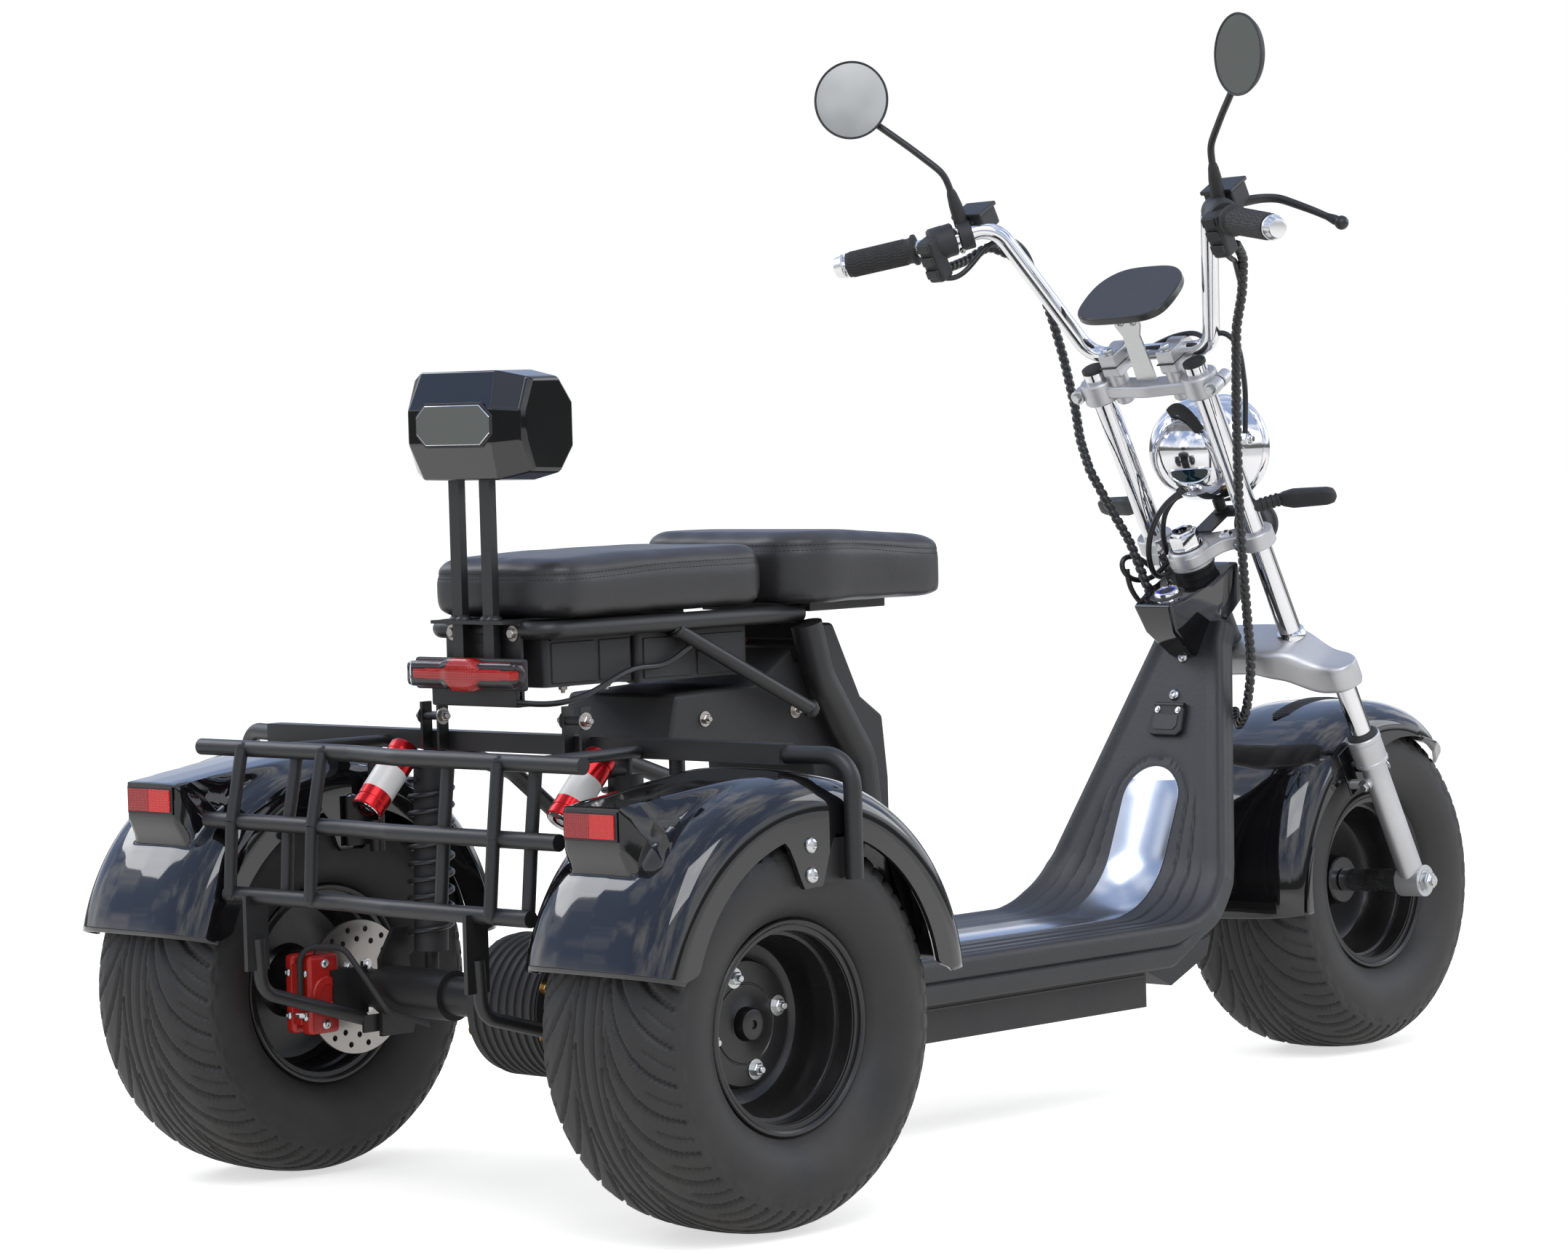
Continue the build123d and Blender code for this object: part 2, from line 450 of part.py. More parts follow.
# Top yoke: a curved bridge, clamp collars and two risers that hold the bar
BAR_U = 66.0
BAR_W = TOP_YOKE_W + 55
GRIP_W = BAR_W + 200
RISER_FOOT_W = TOP_YOKE_W + 27
RISER_V = 46.0
top = slab([(28, -84), (60, -84), (58, -40), (52, 0), (58, 40), (60, 84), (28, 84), (24, 40), (20, 0), (24, -40)], TOP_YOKE_W + 7, RISER_FOOT_W)
top += pair(upright(UPPER_LEG_U, UPPER_LEG_Y, TOP_YOKE_W + 3, TOP_YOKE_W + 33, 24))
top = top - legs
riser = upright(42, RISER_V, RISER_FOOT_W, BAR_W + 16, 12) + rod((BAR_U, RISER_V - 12, BAR_W), (BAR_U, RISER_V + 12, BAR_W), 18)
steered["top_yoke"] = top + pair(riser)
BAR_R = 11.0
bar_half = [(BAR_U, 0, BAR_W), (BAR_U, 96, BAR_W), (62, 172, GRIP_W), (0, 240, GRIP_W + 6), (-50, 340, GRIP_W + 12)]
bar = tube([(u, -v, w) for u, v, w in reversed(bar_half[1:])] + bar_half[1:], 38, BAR_R)
steered["top_yoke"] -= bar
steered["handlebar"] = bar
grip_axis = Vector(*bar_half[4]) - Vector(*bar_half[3])
grip_in = Vector(*bar_half[3]) + grip_axis * 0.12
grip_out = Vector(*bar_half[4]) - grip_axis * 0.02
grip = rod(tuple(grip_in), tuple(grip_out), 16.5) - bar
steered["grips"] = pair(grip)
steered["bar_ends"] = pair(rod(tuple(Vector(*bar_half[4]) + grip_axis * 0.002), tuple(Vector(*bar_half[4]) + grip_axis * 0.13), 15))

# Switch pods, brake master cylinders and levers
pod = rod((26, 212, GRIP_W + 3), (3, 237, GRIP_W + 6), 22) + block((-22, 214, GRIP_W - 40), (6, 240, GRIP_W + 22), 5)
steered["switch_pods"] = pair(pod - bar)
master = rod((42, 194, GRIP_W + 1), (30, 208, GRIP_W + 2.5), 19) + block((48, 178, GRIP_W - 5), (84, 222, GRIP_W + 26), 5)
lever = tube([(80, 216, GRIP_W - 5), (104, 240, GRIP_W - 15), (106, 325, GRIP_W - 60)], 20, 5.5) + Pos(106, 325, GRIP_W - 60) * Sphere(9)
steered["brake_masters"] = pair(master + lever - bar - pod)

# Mirrors
stem = tube([(40, 205, GRIP_W + 10), (52, 211, GRIP_W + 85), (44, 290, GRIP_W + 170)], 20, 4.5) + rod((39, 205, GRIP_W + 10), (45, 207.5, GRIP_W + 45), 9)
MIRROR_AT = (42, 309, GRIP_W + 205)
MIRROR_R = 51.0
mirror_shell = Plane(MIRROR_AT, z_dir=(-0.83, -0.35, 0.43)) * Pos(0, 0, -9) * Cylinder(MIRROR_R, 18)
mirror_glass = Plane(MIRROR_AT, z_dir=(-0.83, -0.35, 0.43)) * Pos(0, 0, 1.5) * Cylinder(MIRROR_R - 3, 2.4)
steered["mirror_arms"] = pair(stem + mirror_shell - mirror_glass - (master + lever) - bar - pod)
steered["mirror_glasses"] = pair(mirror_glass)

# Headlamp, indicators, horn, phone pad
LAMP = (95.0, 0.0, MID_YOKE_W + 110)
LAMP_R = 68.0
lamp_side = Polyline((-LAMP_R, 0, 0), (0, 0, 0), (60, 0, 0), (60, LAMP_R, 0), (0, LAMP_R, 0))
lamp_back = ThreePointArc((0, LAMP_R, 0), (-LAMP_R * sqrt(0.5), LAMP_R * sqrt(0.5), 0), (-LAMP_R, 0, 0))
lamp_shell = revolve(make_face(Wire(Curve() + [lamp_side, lamp_back])), Axis.X)
steered["headlamp"] = Pos(*LAMP) * (Rot(0, RAKE, 0) * lamp_shell)
horn = rod((84, -42, MID_YOKE_W + 1), (112, -42, MID_YOKE_W - 13), 26)
steered["lamp_bracket"] = rod((92, 0, MID_YOKE_W + 18), (92, 0, MID_YOKE_W + 41.7), 8) + block((40, -60, MID_YOKE_W + 15.3), (110, 60, MID_YOKE_W + 19)) - horn - steered["headlamp"]
steered["horn"] = horn
stalk = rod((UPPER_LEG_U, UPPER_LEG_Y, MID_YOKE_W + 48), (70, 108, MID_YOKE_W + 44), 8) - legs
steered["indicators"] = pair(stalk + rod((70, 104, MID_YOKE_W + 44), (88, 190, MID_YOKE_W + 36), 11))
pad_outline = [(-50, -72), (20, -72), (50, -44), (50, 44), (20, 72), (-50, 72), (-62, 50), (-62, -50)]
pad = Pos(76, 0, TOP_YOKE_W + 137) * (Rot(0, -10, 0) * slab(pad_outline, -5.5, 5.5))
steered["phone_pad"] = pad
steered["pad_bracket"] = slab([(38, -20), (41, -20), (41, 20), (38, 20)], RISER_FOOT_W + 0.3, TOP_YOKE_W + 135) - pad

# Front fender: a deep U section that reaches low behind the wheel
front_fender = arch_shell(244, 116, 196, 3, 47, 187)
front_fender = STRAIGHT * Pos(*FRONT_AXLE) * front_fender
front_fender += TURN * pair(block((4, 113, 150), (62, 116, 212)))

for name, solid in steered.items():
    parts[name] = TURN * solid
parts["front_fender"] = front_fender

os.makedirs("parts", exist_ok=True)
for name, solid in parts.items():
    export_step(Pos(-MIDDLE_X, 0, 0) * solid, f"parts/{name}.step")
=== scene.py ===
import json
import math
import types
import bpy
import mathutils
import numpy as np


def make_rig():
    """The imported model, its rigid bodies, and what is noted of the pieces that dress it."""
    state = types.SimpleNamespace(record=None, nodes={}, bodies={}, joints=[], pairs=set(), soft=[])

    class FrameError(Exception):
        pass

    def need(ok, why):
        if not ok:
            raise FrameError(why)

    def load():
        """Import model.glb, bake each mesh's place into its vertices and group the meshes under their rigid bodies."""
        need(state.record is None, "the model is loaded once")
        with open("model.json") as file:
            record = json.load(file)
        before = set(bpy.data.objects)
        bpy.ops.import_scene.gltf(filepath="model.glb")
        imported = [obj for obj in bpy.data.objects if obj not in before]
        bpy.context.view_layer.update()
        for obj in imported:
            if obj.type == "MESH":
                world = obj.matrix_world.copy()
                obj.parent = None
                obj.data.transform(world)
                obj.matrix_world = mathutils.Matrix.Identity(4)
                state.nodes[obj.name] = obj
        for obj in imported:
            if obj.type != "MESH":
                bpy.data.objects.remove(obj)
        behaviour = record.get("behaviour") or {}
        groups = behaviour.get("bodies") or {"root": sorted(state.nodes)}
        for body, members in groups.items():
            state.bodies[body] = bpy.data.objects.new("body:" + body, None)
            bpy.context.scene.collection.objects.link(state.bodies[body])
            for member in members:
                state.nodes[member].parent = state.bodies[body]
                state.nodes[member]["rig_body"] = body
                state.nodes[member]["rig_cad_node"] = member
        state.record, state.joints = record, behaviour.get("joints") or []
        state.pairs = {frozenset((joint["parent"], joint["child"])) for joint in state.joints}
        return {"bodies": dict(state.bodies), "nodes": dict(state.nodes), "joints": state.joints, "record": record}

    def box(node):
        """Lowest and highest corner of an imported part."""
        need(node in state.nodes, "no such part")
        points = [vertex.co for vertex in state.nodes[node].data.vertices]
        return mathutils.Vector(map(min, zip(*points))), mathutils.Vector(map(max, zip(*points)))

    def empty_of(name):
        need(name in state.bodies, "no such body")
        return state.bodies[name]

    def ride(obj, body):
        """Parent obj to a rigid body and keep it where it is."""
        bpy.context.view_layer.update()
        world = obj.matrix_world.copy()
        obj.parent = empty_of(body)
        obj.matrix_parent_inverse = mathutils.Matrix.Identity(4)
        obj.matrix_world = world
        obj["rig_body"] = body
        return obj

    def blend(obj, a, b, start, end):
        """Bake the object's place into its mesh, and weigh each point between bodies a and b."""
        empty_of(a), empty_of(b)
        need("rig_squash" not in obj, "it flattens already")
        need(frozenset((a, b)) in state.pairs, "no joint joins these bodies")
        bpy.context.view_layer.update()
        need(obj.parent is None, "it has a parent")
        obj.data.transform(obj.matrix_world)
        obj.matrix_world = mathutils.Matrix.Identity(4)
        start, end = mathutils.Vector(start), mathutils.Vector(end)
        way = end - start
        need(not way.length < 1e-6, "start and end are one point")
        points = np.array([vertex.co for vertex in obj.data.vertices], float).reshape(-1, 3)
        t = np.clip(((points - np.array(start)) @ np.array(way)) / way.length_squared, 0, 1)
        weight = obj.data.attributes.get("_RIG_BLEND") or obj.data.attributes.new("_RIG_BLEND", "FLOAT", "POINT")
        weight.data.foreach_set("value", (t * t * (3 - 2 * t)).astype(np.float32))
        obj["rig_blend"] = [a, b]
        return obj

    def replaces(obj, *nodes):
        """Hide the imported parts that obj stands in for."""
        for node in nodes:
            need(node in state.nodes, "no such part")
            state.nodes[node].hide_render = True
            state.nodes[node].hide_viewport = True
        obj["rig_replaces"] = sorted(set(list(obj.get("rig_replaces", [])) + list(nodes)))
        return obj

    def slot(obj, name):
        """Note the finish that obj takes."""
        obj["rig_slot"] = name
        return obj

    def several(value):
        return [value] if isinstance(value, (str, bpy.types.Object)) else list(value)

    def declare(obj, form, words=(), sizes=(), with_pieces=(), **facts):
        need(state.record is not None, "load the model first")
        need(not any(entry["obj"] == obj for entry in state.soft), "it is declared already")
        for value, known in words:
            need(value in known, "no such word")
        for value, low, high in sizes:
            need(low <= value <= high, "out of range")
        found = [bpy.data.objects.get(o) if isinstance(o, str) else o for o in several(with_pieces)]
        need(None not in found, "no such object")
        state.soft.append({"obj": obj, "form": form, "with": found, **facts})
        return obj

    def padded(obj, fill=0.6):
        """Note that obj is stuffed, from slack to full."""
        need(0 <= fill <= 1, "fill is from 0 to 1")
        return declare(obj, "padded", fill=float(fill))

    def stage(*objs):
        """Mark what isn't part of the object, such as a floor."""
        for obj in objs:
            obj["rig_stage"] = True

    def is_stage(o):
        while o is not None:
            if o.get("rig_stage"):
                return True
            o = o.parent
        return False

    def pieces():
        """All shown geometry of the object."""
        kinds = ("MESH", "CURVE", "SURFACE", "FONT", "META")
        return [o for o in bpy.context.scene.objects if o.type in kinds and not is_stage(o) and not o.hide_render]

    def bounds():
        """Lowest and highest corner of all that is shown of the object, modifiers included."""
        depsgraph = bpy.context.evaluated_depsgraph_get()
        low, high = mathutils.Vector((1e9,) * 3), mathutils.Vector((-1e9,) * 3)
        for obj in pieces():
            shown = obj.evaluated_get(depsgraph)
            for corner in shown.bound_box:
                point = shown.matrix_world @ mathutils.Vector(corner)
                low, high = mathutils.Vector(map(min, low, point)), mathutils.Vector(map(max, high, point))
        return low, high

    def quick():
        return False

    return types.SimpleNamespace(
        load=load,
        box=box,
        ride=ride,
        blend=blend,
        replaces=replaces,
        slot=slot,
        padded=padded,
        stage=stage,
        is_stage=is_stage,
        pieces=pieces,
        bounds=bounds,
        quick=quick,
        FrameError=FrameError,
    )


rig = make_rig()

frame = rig.load()

import bmesh
import bpy
import numpy as np
from mathutils import Matrix, Vector
from mathutils.bvhtree import BVHTree

cad_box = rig.bounds()
nodes = frame["nodes"]

# Paint and moulding finishes. The frame is black powder coat, the fenders and head cover are
# gloss black moulding, and all of it carries the fine dust of a yard. Each finish is a
# Principled shader fed by a few shared effects: grain, a soft noise that varies colour and roughness, and dust.


def shader_group(name, inputs, outputs):
    """An empty node group with float or colour sockets, and its input and output nodes."""
    group = bpy.data.node_groups.new(name, "ShaderNodeTree")
    for label, kind, value in inputs:
        socket = group.interface.new_socket(label, in_out="INPUT", socket_type="NodeSocket" + kind)
        socket.default_value = value
    for label, kind in outputs:
        group.interface.new_socket(label, in_out="OUTPUT", socket_type="NodeSocket" + kind)
    return group, group.nodes.new("NodeGroupInput"), group.nodes.new("NodeGroupOutput")


def link(tree, source, target):
    tree.links.new(source, target)


def math_node(tree, operation, a, b=0.5):
    """One Math node. Each of a and b is a number or an output socket."""
    node = tree.nodes.new("ShaderNodeMath")
    node.operation = operation
    for socket, value in zip(node.inputs, (a, b)):
        if isinstance(value, (int, float)):
            socket.default_value = value
        else:
            link(tree, value, socket)
    return node.outputs[0]


def noise_node(tree, vector, scale, detail=4.0, roughness=0.5):
    node = tree.nodes.new("ShaderNodeTexNoise")
    node.inputs["Scale"].default_value = scale
    node.inputs["Detail"].default_value = detail
    node.inputs["Roughness"].default_value = roughness
    link(tree, vector, node.inputs["Vector"])
    return node.outputs["Fac"]


# Fine grain: two octaves of noise added, as a height for bump
grain_group, grain_in, grain_out = shader_group(
    "grain", [("Scale", "Float", 900.0), ("Coarse", "Float", 0.3)], [("Height", "Float")])
coords = grain_group.nodes.new("ShaderNodeTexCoord")
fine = grain_group.nodes.new("ShaderNodeTexNoise")
fine.inputs["Detail"].default_value = 2.0
coarse = grain_group.nodes.new("ShaderNodeTexNoise")
coarse.inputs["Detail"].default_value = 3.0
for texture in (fine, coarse):
    link(grain_group, coords.outputs["Object"], texture.inputs["Vector"])
link(grain_group, grain_in.outputs["Scale"], fine.inputs["Scale"])
link(grain_group, math_node(grain_group, "MULTIPLY", grain_in.outputs["Scale"], 0.12), coarse.inputs["Scale"])
weighted = math_node(grain_group, "MULTIPLY", coarse.outputs["Fac"], grain_in.outputs["Coarse"])
link(grain_group, math_node(grain_group, "ADD", fine.outputs["Fac"], weighted), grain_out.inputs["Height"])

# Dust: thicker on faces that look up and near the ground, broken up by soft noise
dust_group, dust_in, dust_out = shader_group(
    "dust", [("Amount", "Float", 0.3), ("Reach", "Float", 0.45)], [("Mask", "Float")])
geometry = dust_group.nodes.new("ShaderNodeNewGeometry")
place = dust_group.nodes.new("ShaderNodeTexCoord")
split_normal = dust_group.nodes.new("ShaderNodeSeparateXYZ")
split_place = dust_group.nodes.new("ShaderNodeSeparateXYZ")
link(dust_group, geometry.outputs["Normal"], split_normal.inputs[0])
link(dust_group, place.outputs["Object"], split_place.inputs[0])
upward = math_node(dust_group, "MAXIMUM", split_normal.outputs["Z"], 0.0)
low = math_node(dust_group, "DIVIDE", split_place.outputs["Z"], dust_in.outputs["Reach"])
low = math_node(dust_group, "SUBTRACT", 1.0, low)
low = math_node(dust_group, "MAXIMUM", low, 0.0)
cover = math_node(dust_group, "ADD", math_node(dust_group, "MULTIPLY", upward, 0.5), low)
patches = noise_node(dust_group, place.outputs["Object"], 9.0, 6.0, 0.62)
patches = math_node(dust_group, "MULTIPLY", math_node(dust_group, "SUBTRACT", patches, 0.35), 2.4)
patches = math_node(dust_group, "MAXIMUM", patches, 0.0)
mask = math_node(dust_group, "MULTIPLY", math_node(dust_group, "MULTIPLY", cover, patches), dust_in.outputs["Amount"])
link(dust_group, math_node(dust_group, "MINIMUM", mask, 1.0), dust_out.inputs["Mask"])

DUST_COLOUR = (0.23, 0.20, 0.165, 1)


def finish(name, colour, rough, metallic=0.0, grain=900.0, coarse=0.3, bump=0.05, dust=0.25,
           second=None, blotch=14.0, coat=0.0, rough_spread=0.12, bump_distance=0.0006):
    """A finished surface: base colour varied towards a second colour by soft noise, dust on top,
    roughness spread by the same noise, and grain as bump. Returns the material."""
    material = bpy.data.materials.new(name)
    material.use_nodes = True
    tree = material.node_tree
    shader = tree.nodes["Principled BSDF"]
    object_place = tree.nodes.new("ShaderNodeTexCoord").outputs["Object"]
    soft = noise_node(tree, object_place, blotch, 5.0, 0.55)
    mix = tree.nodes.new("ShaderNodeMix")
    mix.data_type = "RGBA"
    base = tuple(colour) + (1,)
    mix.inputs["A"].default_value = base
    mix.inputs["B"].default_value = tuple(second or [c * 1.35 + 0.003 for c in colour]) + (1,)
    link(tree, soft, mix.inputs["Factor"])
    dusty = tree.nodes.new("ShaderNodeMix")
    dusty.data_type = "RGBA"
    dusty.inputs["B"].default_value = DUST_COLOUR
    link(tree, mix.outputs["Result"], dusty.inputs["A"])
    veil = tree.nodes.new("ShaderNodeGroup")
    veil.node_tree = dust_group
    veil.inputs["Amount"].default_value = dust
    link(tree, veil.outputs["Mask"], dusty.inputs["Factor"])
    link(tree, dusty.outputs["Result"], shader.inputs["Base Color"])
    spread = math_node(tree, "MULTIPLY", math_node(tree, "SUBTRACT", soft, 0.5), rough_spread)
    rough_now = math_node(tree, "ADD", spread, rough)
    rough_now = math_node(tree, "ADD", rough_now, math_node(tree, "MULTIPLY", veil.outputs["Mask"], 0.5))
    link(tree, rough_now, shader.inputs["Roughness"])
    shader.inputs["Metallic"].default_value = metallic
    if coat:
        shader.inputs["Coat Weight"].default_value = coat
        shader.inputs["Coat Roughness"].default_value = 0.03
    grains = tree.nodes.new("ShaderNodeGroup")
    grains.node_tree = grain_group
    grains.inputs["Scale"].default_value = grain
    grains.inputs["Coarse"].default_value = coarse
    relief = tree.nodes.new("ShaderNodeBump")
    relief.inputs["Strength"].default_value = bump
    relief.inputs["Distance"].default_value = bump_distance
    link(tree, grains.outputs["Height"], relief.inputs["Height"])
    link(tree, relief.outputs["Normal"], shader.inputs["Normal"])
    return material


satin_black = finish("satin_black", (0.009, 0.0092, 0.010), 0.40, grain=1400, bump=0.25, dust=0.07)
gloss_black = finish("gloss_black", (0.003, 0.003, 0.004), 0.05, grain=300, bump=0.015, dust=0.03, coat=0.5, rough_spread=0.03)
mould_black = finish("mould_black", (0.014, 0.0145, 0.016), 0.5, grain=2200, bump=0.5, dust=0.08)
chrome = finish("chrome", (0.62, 0.62, 0.63), 0.07, metallic=1.0, grain=200, bump=0.01, dust=0.02, rough_spread=0.05)
cast_silver = finish("cast_silver", (0.46, 0.46, 0.47), 0.42, metallic=0.75, grain=1600, bump=0.22, dust=0.04)
zinc = finish("zinc", (0.50, 0.51, 0.52), 0.27, metallic=1.0, grain=500, bump=0.03, dust=0.02, second=(0.58, 0.58, 0.57), blotch=40)
ground_steel = finish("ground_steel", (0.36, 0.34, 0.32), 0.34, metallic=1.0, grain=700, bump=0.25, dust=0.05)
dark_rubber = finish("dark_rubber", (0.012, 0.012, 0.012), 0.62, grain=1300, bump=0.4, dust=0.1)
tyre_rubber = finish("tyre_rubber", (0.011, 0.011, 0.012), 0.56, grain=700, coarse=0.8, bump=0.35, dust=0.12, second=(0.019, 0.0185, 0.018), blotch=22)
rim_black = finish("rim_black", (0.008, 0.008, 0.009), 0.26, grain=900, bump=0.12, dust=0.05)
red_paint = finish("red_paint", (0.42, 0.012, 0.010), 0.32, grain=1200, bump=0.15, dust=0.03, second=(0.50, 0.02, 0.014))
red_anodised = finish("red_anodised", (0.45, 0.010, 0.014), 0.26, metallic=0.85, grain=600, bump=0.1, dust=0.02)
board_black = finish("board_black", (0.014, 0.0148, 0.017), 0.44, grain=1500, coarse=0.9, bump=0.5, dust=0.06)
bright_plate = finish("bright_plate", (0.44, 0.47, 0.52), 0.20, metallic=1.0, grain=260, bump=0.03, dust=0.04)
box_black = finish("box_black", (0.013, 0.013, 0.014), 0.58, grain=1200, bump=0.45, dust=0.10)

PLAIN_FINISHES = {
    satin_black: ["main_frame", "seat_frame", "cross_bar", "rear_rack", "backrest_bars", "axle_housing"],
    gloss_black: ["head_cover", "front_fender", "rear_fender_left", "rear_fender_right", "phone_pad", "backrest_shell", "charge_flap"],
    mould_black: ["footboard", "front_skirt", "inner_cover", "switch_pods", "brake_masters", "horn", "mirror_arms", "fork_caps"],
    box_black: ["battery_box", "seat_box", "drive_unit", "lamp_bracket", "rear_shocks"],
    chrome: ["fork_tubes", "handlebar", "headlamp", "bar_ends", "stem_nut", "start_button"],
    cast_silver: ["fork_sliders", "lower_yoke", "mid_yoke", "top_yoke"],
    zinc: ["front_axle", "pad_bracket"],
    ground_steel: ["brake_disc", "floor_strip"],
    dark_rubber: ["grips", "brake_hose"],
    tyre_rubber: ["front_tyre", "rear_left_tyre", "rear_right_tyre", "rear_cushion", "front_cushion"],
    rim_black: ["front_rim", "rear_left_rim", "rear_right_rim"],
    red_paint: ["brake_caliper", "reflectors", "tail_lamp", "backrest_window", "indicators"],
    red_anodised: ["shock_canisters"],
}
for surface, names in PLAIN_FINISHES.items():
    for name in names:
        if name in nodes:
            nodes[name].data.materials.clear()
            nodes[name].data.materials.append(surface)

# Mirror glass
silvered = bpy.data.materials.new("silvered")
silvered.use_nodes = True
silver = silvered.node_tree.nodes["Principled BSDF"]
silver.inputs["Base Color"].default_value = (0.8, 0.82, 0.85, 1)
silver.inputs["Metallic"].default_value = 1.0
silver.inputs["Roughness"].default_value = 0.02
if "mirror_glasses" in nodes:
    nodes["mirror_glasses"].data.materials.clear()
    nodes["mirror_glasses"].data.materials.append(silvered)

# Tyres: wide tubeless rubber. Two grooves run round the crown, long grooves leave the crown
# and curve out to the shoulders, and short slits stand between them at the stepped tread edge.
TYRE_RADIUS = 0.225
BEAD_RADIUS = 0.1035
RAKE = math.radians(27.5)
REST_STEER = math.radians(4.0)
AXLE_X = 0.749


def site(points):
    """Metres in the shared frame from millimetres with x measured from the rear axle."""
    return (np.asarray(points, float) - [AXLE_X * 1000, 0, 0]) / 1000


rake_forward = np.array([math.cos(RAKE), 0, math.sin(RAKE)])
fork_up = np.array([-math.sin(RAKE), 0, math.cos(RAKE)])
leftward = np.array([0.0, 1.0, 0.0])
straight_frame = np.stack([rake_forward, leftward, fork_up], 1)
fork_frame = straight_frame @ np.array([[math.cos(REST_STEER), -math.sin(REST_STEER), 0],
                                        [math.sin(REST_STEER), math.cos(REST_STEER), 0], [0, 0, 1]])
FORK_FOOT = site((1515, 0, 226.6)) - 0.033 * rake_forward


def fork_site(points):
    """Metres in the shared frame from the fork's own millimetres: forward, left, up its axis."""
    return FORK_FOOT + (np.asarray(points, float) / 1000) @ fork_frame.T


def steered_site(points):
    """Metres from axle millimetres of a piece laid out straight ahead, turned with the fork."""
    return FORK_FOOT + ((site(points) - FORK_FOOT) @ straight_frame) @ fork_frame.T


def steered_back(points):
    """Metres from the fork's millimetres with the wheel straight, for pieces on the frame."""
    return FORK_FOOT + (np.asarray(points, float) / 1000) @ straight_frame.T


def mesh_piece(name, points, quads, material, body, slot_name, sharp=35.0, hides=(), merge=True):
    """One piece from arrays of points and four-sided faces. Equal points are merged, which
    closes poles and seams, and the faces are turned outwards. A piece that is blended across
    the steering joint afterwards is given no body here."""
    mesh = bpy.data.meshes.new(name)
    mesh.from_pydata(np.asarray(points, float).reshape(-1, 3).tolist(), [], [list(quad) for quad in quads])
    if merge:
        work = bmesh.new()
        work.from_mesh(mesh)
        bmesh.ops.remove_doubles(work, verts=work.verts, dist=1e-6)
        bmesh.ops.recalc_face_normals(work, faces=work.faces)
        work.to_mesh(mesh)
        work.free()
    mesh.shade_smooth()
    if sharp:
        mesh.set_sharp_from_angle(angle=math.radians(sharp))
    mesh.materials.append(material)
    piece = bpy.data.objects.new(name, mesh)
    bpy.context.scene.collection.objects.link(piece)
    if body:
        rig.ride(piece, body)
    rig.slot(piece, slot_name)
    if hides:
        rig.replaces(piece, *hides)
    return piece


def grid_quads(rows, columns, wrap_rows=False, wrap_columns=False):
    """Four-sided faces over a grid of points, row by row, joined end to start where asked."""
    r = np.arange(rows if wrap_rows else rows - 1)
    c = np.arange(columns if wrap_columns else columns - 1)
    r, c = np.meshgrid(r, c, indexing="ij")
    r2, c2 = (r + 1) % rows, (c + 1) % columns
    return np.stack([r * columns + c, r * columns + c2, r2 * columns + c2, r2 * columns + c], -1).reshape(-1, 4)


def smooth_step(x, low, high):
    t = np.clip((x - low) / (high - low), 0, 1)
    return t * t * (3 - 2 * t)


def rounded_line(corners, count, passes=2):
    """Evenly spaced points along a line of corners, each averaged with its neighbours."""
    corners = np.asarray(corners, float)
    length = np.concatenate([[0], np.cumsum(np.linalg.norm(np.diff(corners, axis=0), axis=1))])
    along = np.linspace(0, length[-1], count)
    line = np.stack([np.interp(along, length, corners[:, k]) for k in range(corners.shape[1])], -1)
    for _ in range(passes):
        line[1:-1] = (line[:-2] + 2 * line[1:-1] + line[2:]) / 4
    return line


def tread_height(angle, reach):
    """Height of the tread over the carcass. reach is the distance from the crown along the
    section. A long groove passes reach r at angle -t ln((r - r0) / (r1 - r0)) from its end."""
    inner, outer, bend = 0.016, 0.108, math.radians(13)
    away = np.clip(reach - inner, 1e-4, None)
    sweep = -bend * np.log(away / (outer - inner))
    slope = np.sqrt(1 + (TYRE_RADIUS * bend / away) ** 2)
    on_tread = (reach > inner + 0.0008) & (reach < outer)
    pitch = 2 * math.pi / 30
    turn = (angle + sweep) / pitch
    nearest = np.round(turn)
    distance = np.abs(turn - nearest) * pitch * TYRE_RADIUS / slope
    limit = np.where(nearest % 2 == 0, math.radians(56), math.radians(27))
    long_cut = (1 - smooth_step(distance, 0.0013, 0.0030)) * on_tread * (1 - smooth_step(sweep, limit - 0.02, limit + 0.02))
    distance = np.abs(turn - np.floor(turn) - 0.5) * pitch * TYRE_RADIUS / slope
    slit = (1 - smooth_step(distance, 0.0009, 0.0022)) * on_tread * (1 - smooth_step(sweep, 0.10, 0.13))
    ring_cut = 1 - smooth_step(np.abs(reach - 0.0085), 0.0012, 0.0027)
    cut = np.maximum(np.maximum(long_cut, 0.6 * slit), ring_cut)
    border = 0.112 + 0.0035 * (np.floor(angle / pitch * 2) % 2)
    cap = 1 - smooth_step(reach - border, 0.0, 0.0016)
    return 0.0012 * (cap - 1) - 0.0052 * cut * cap


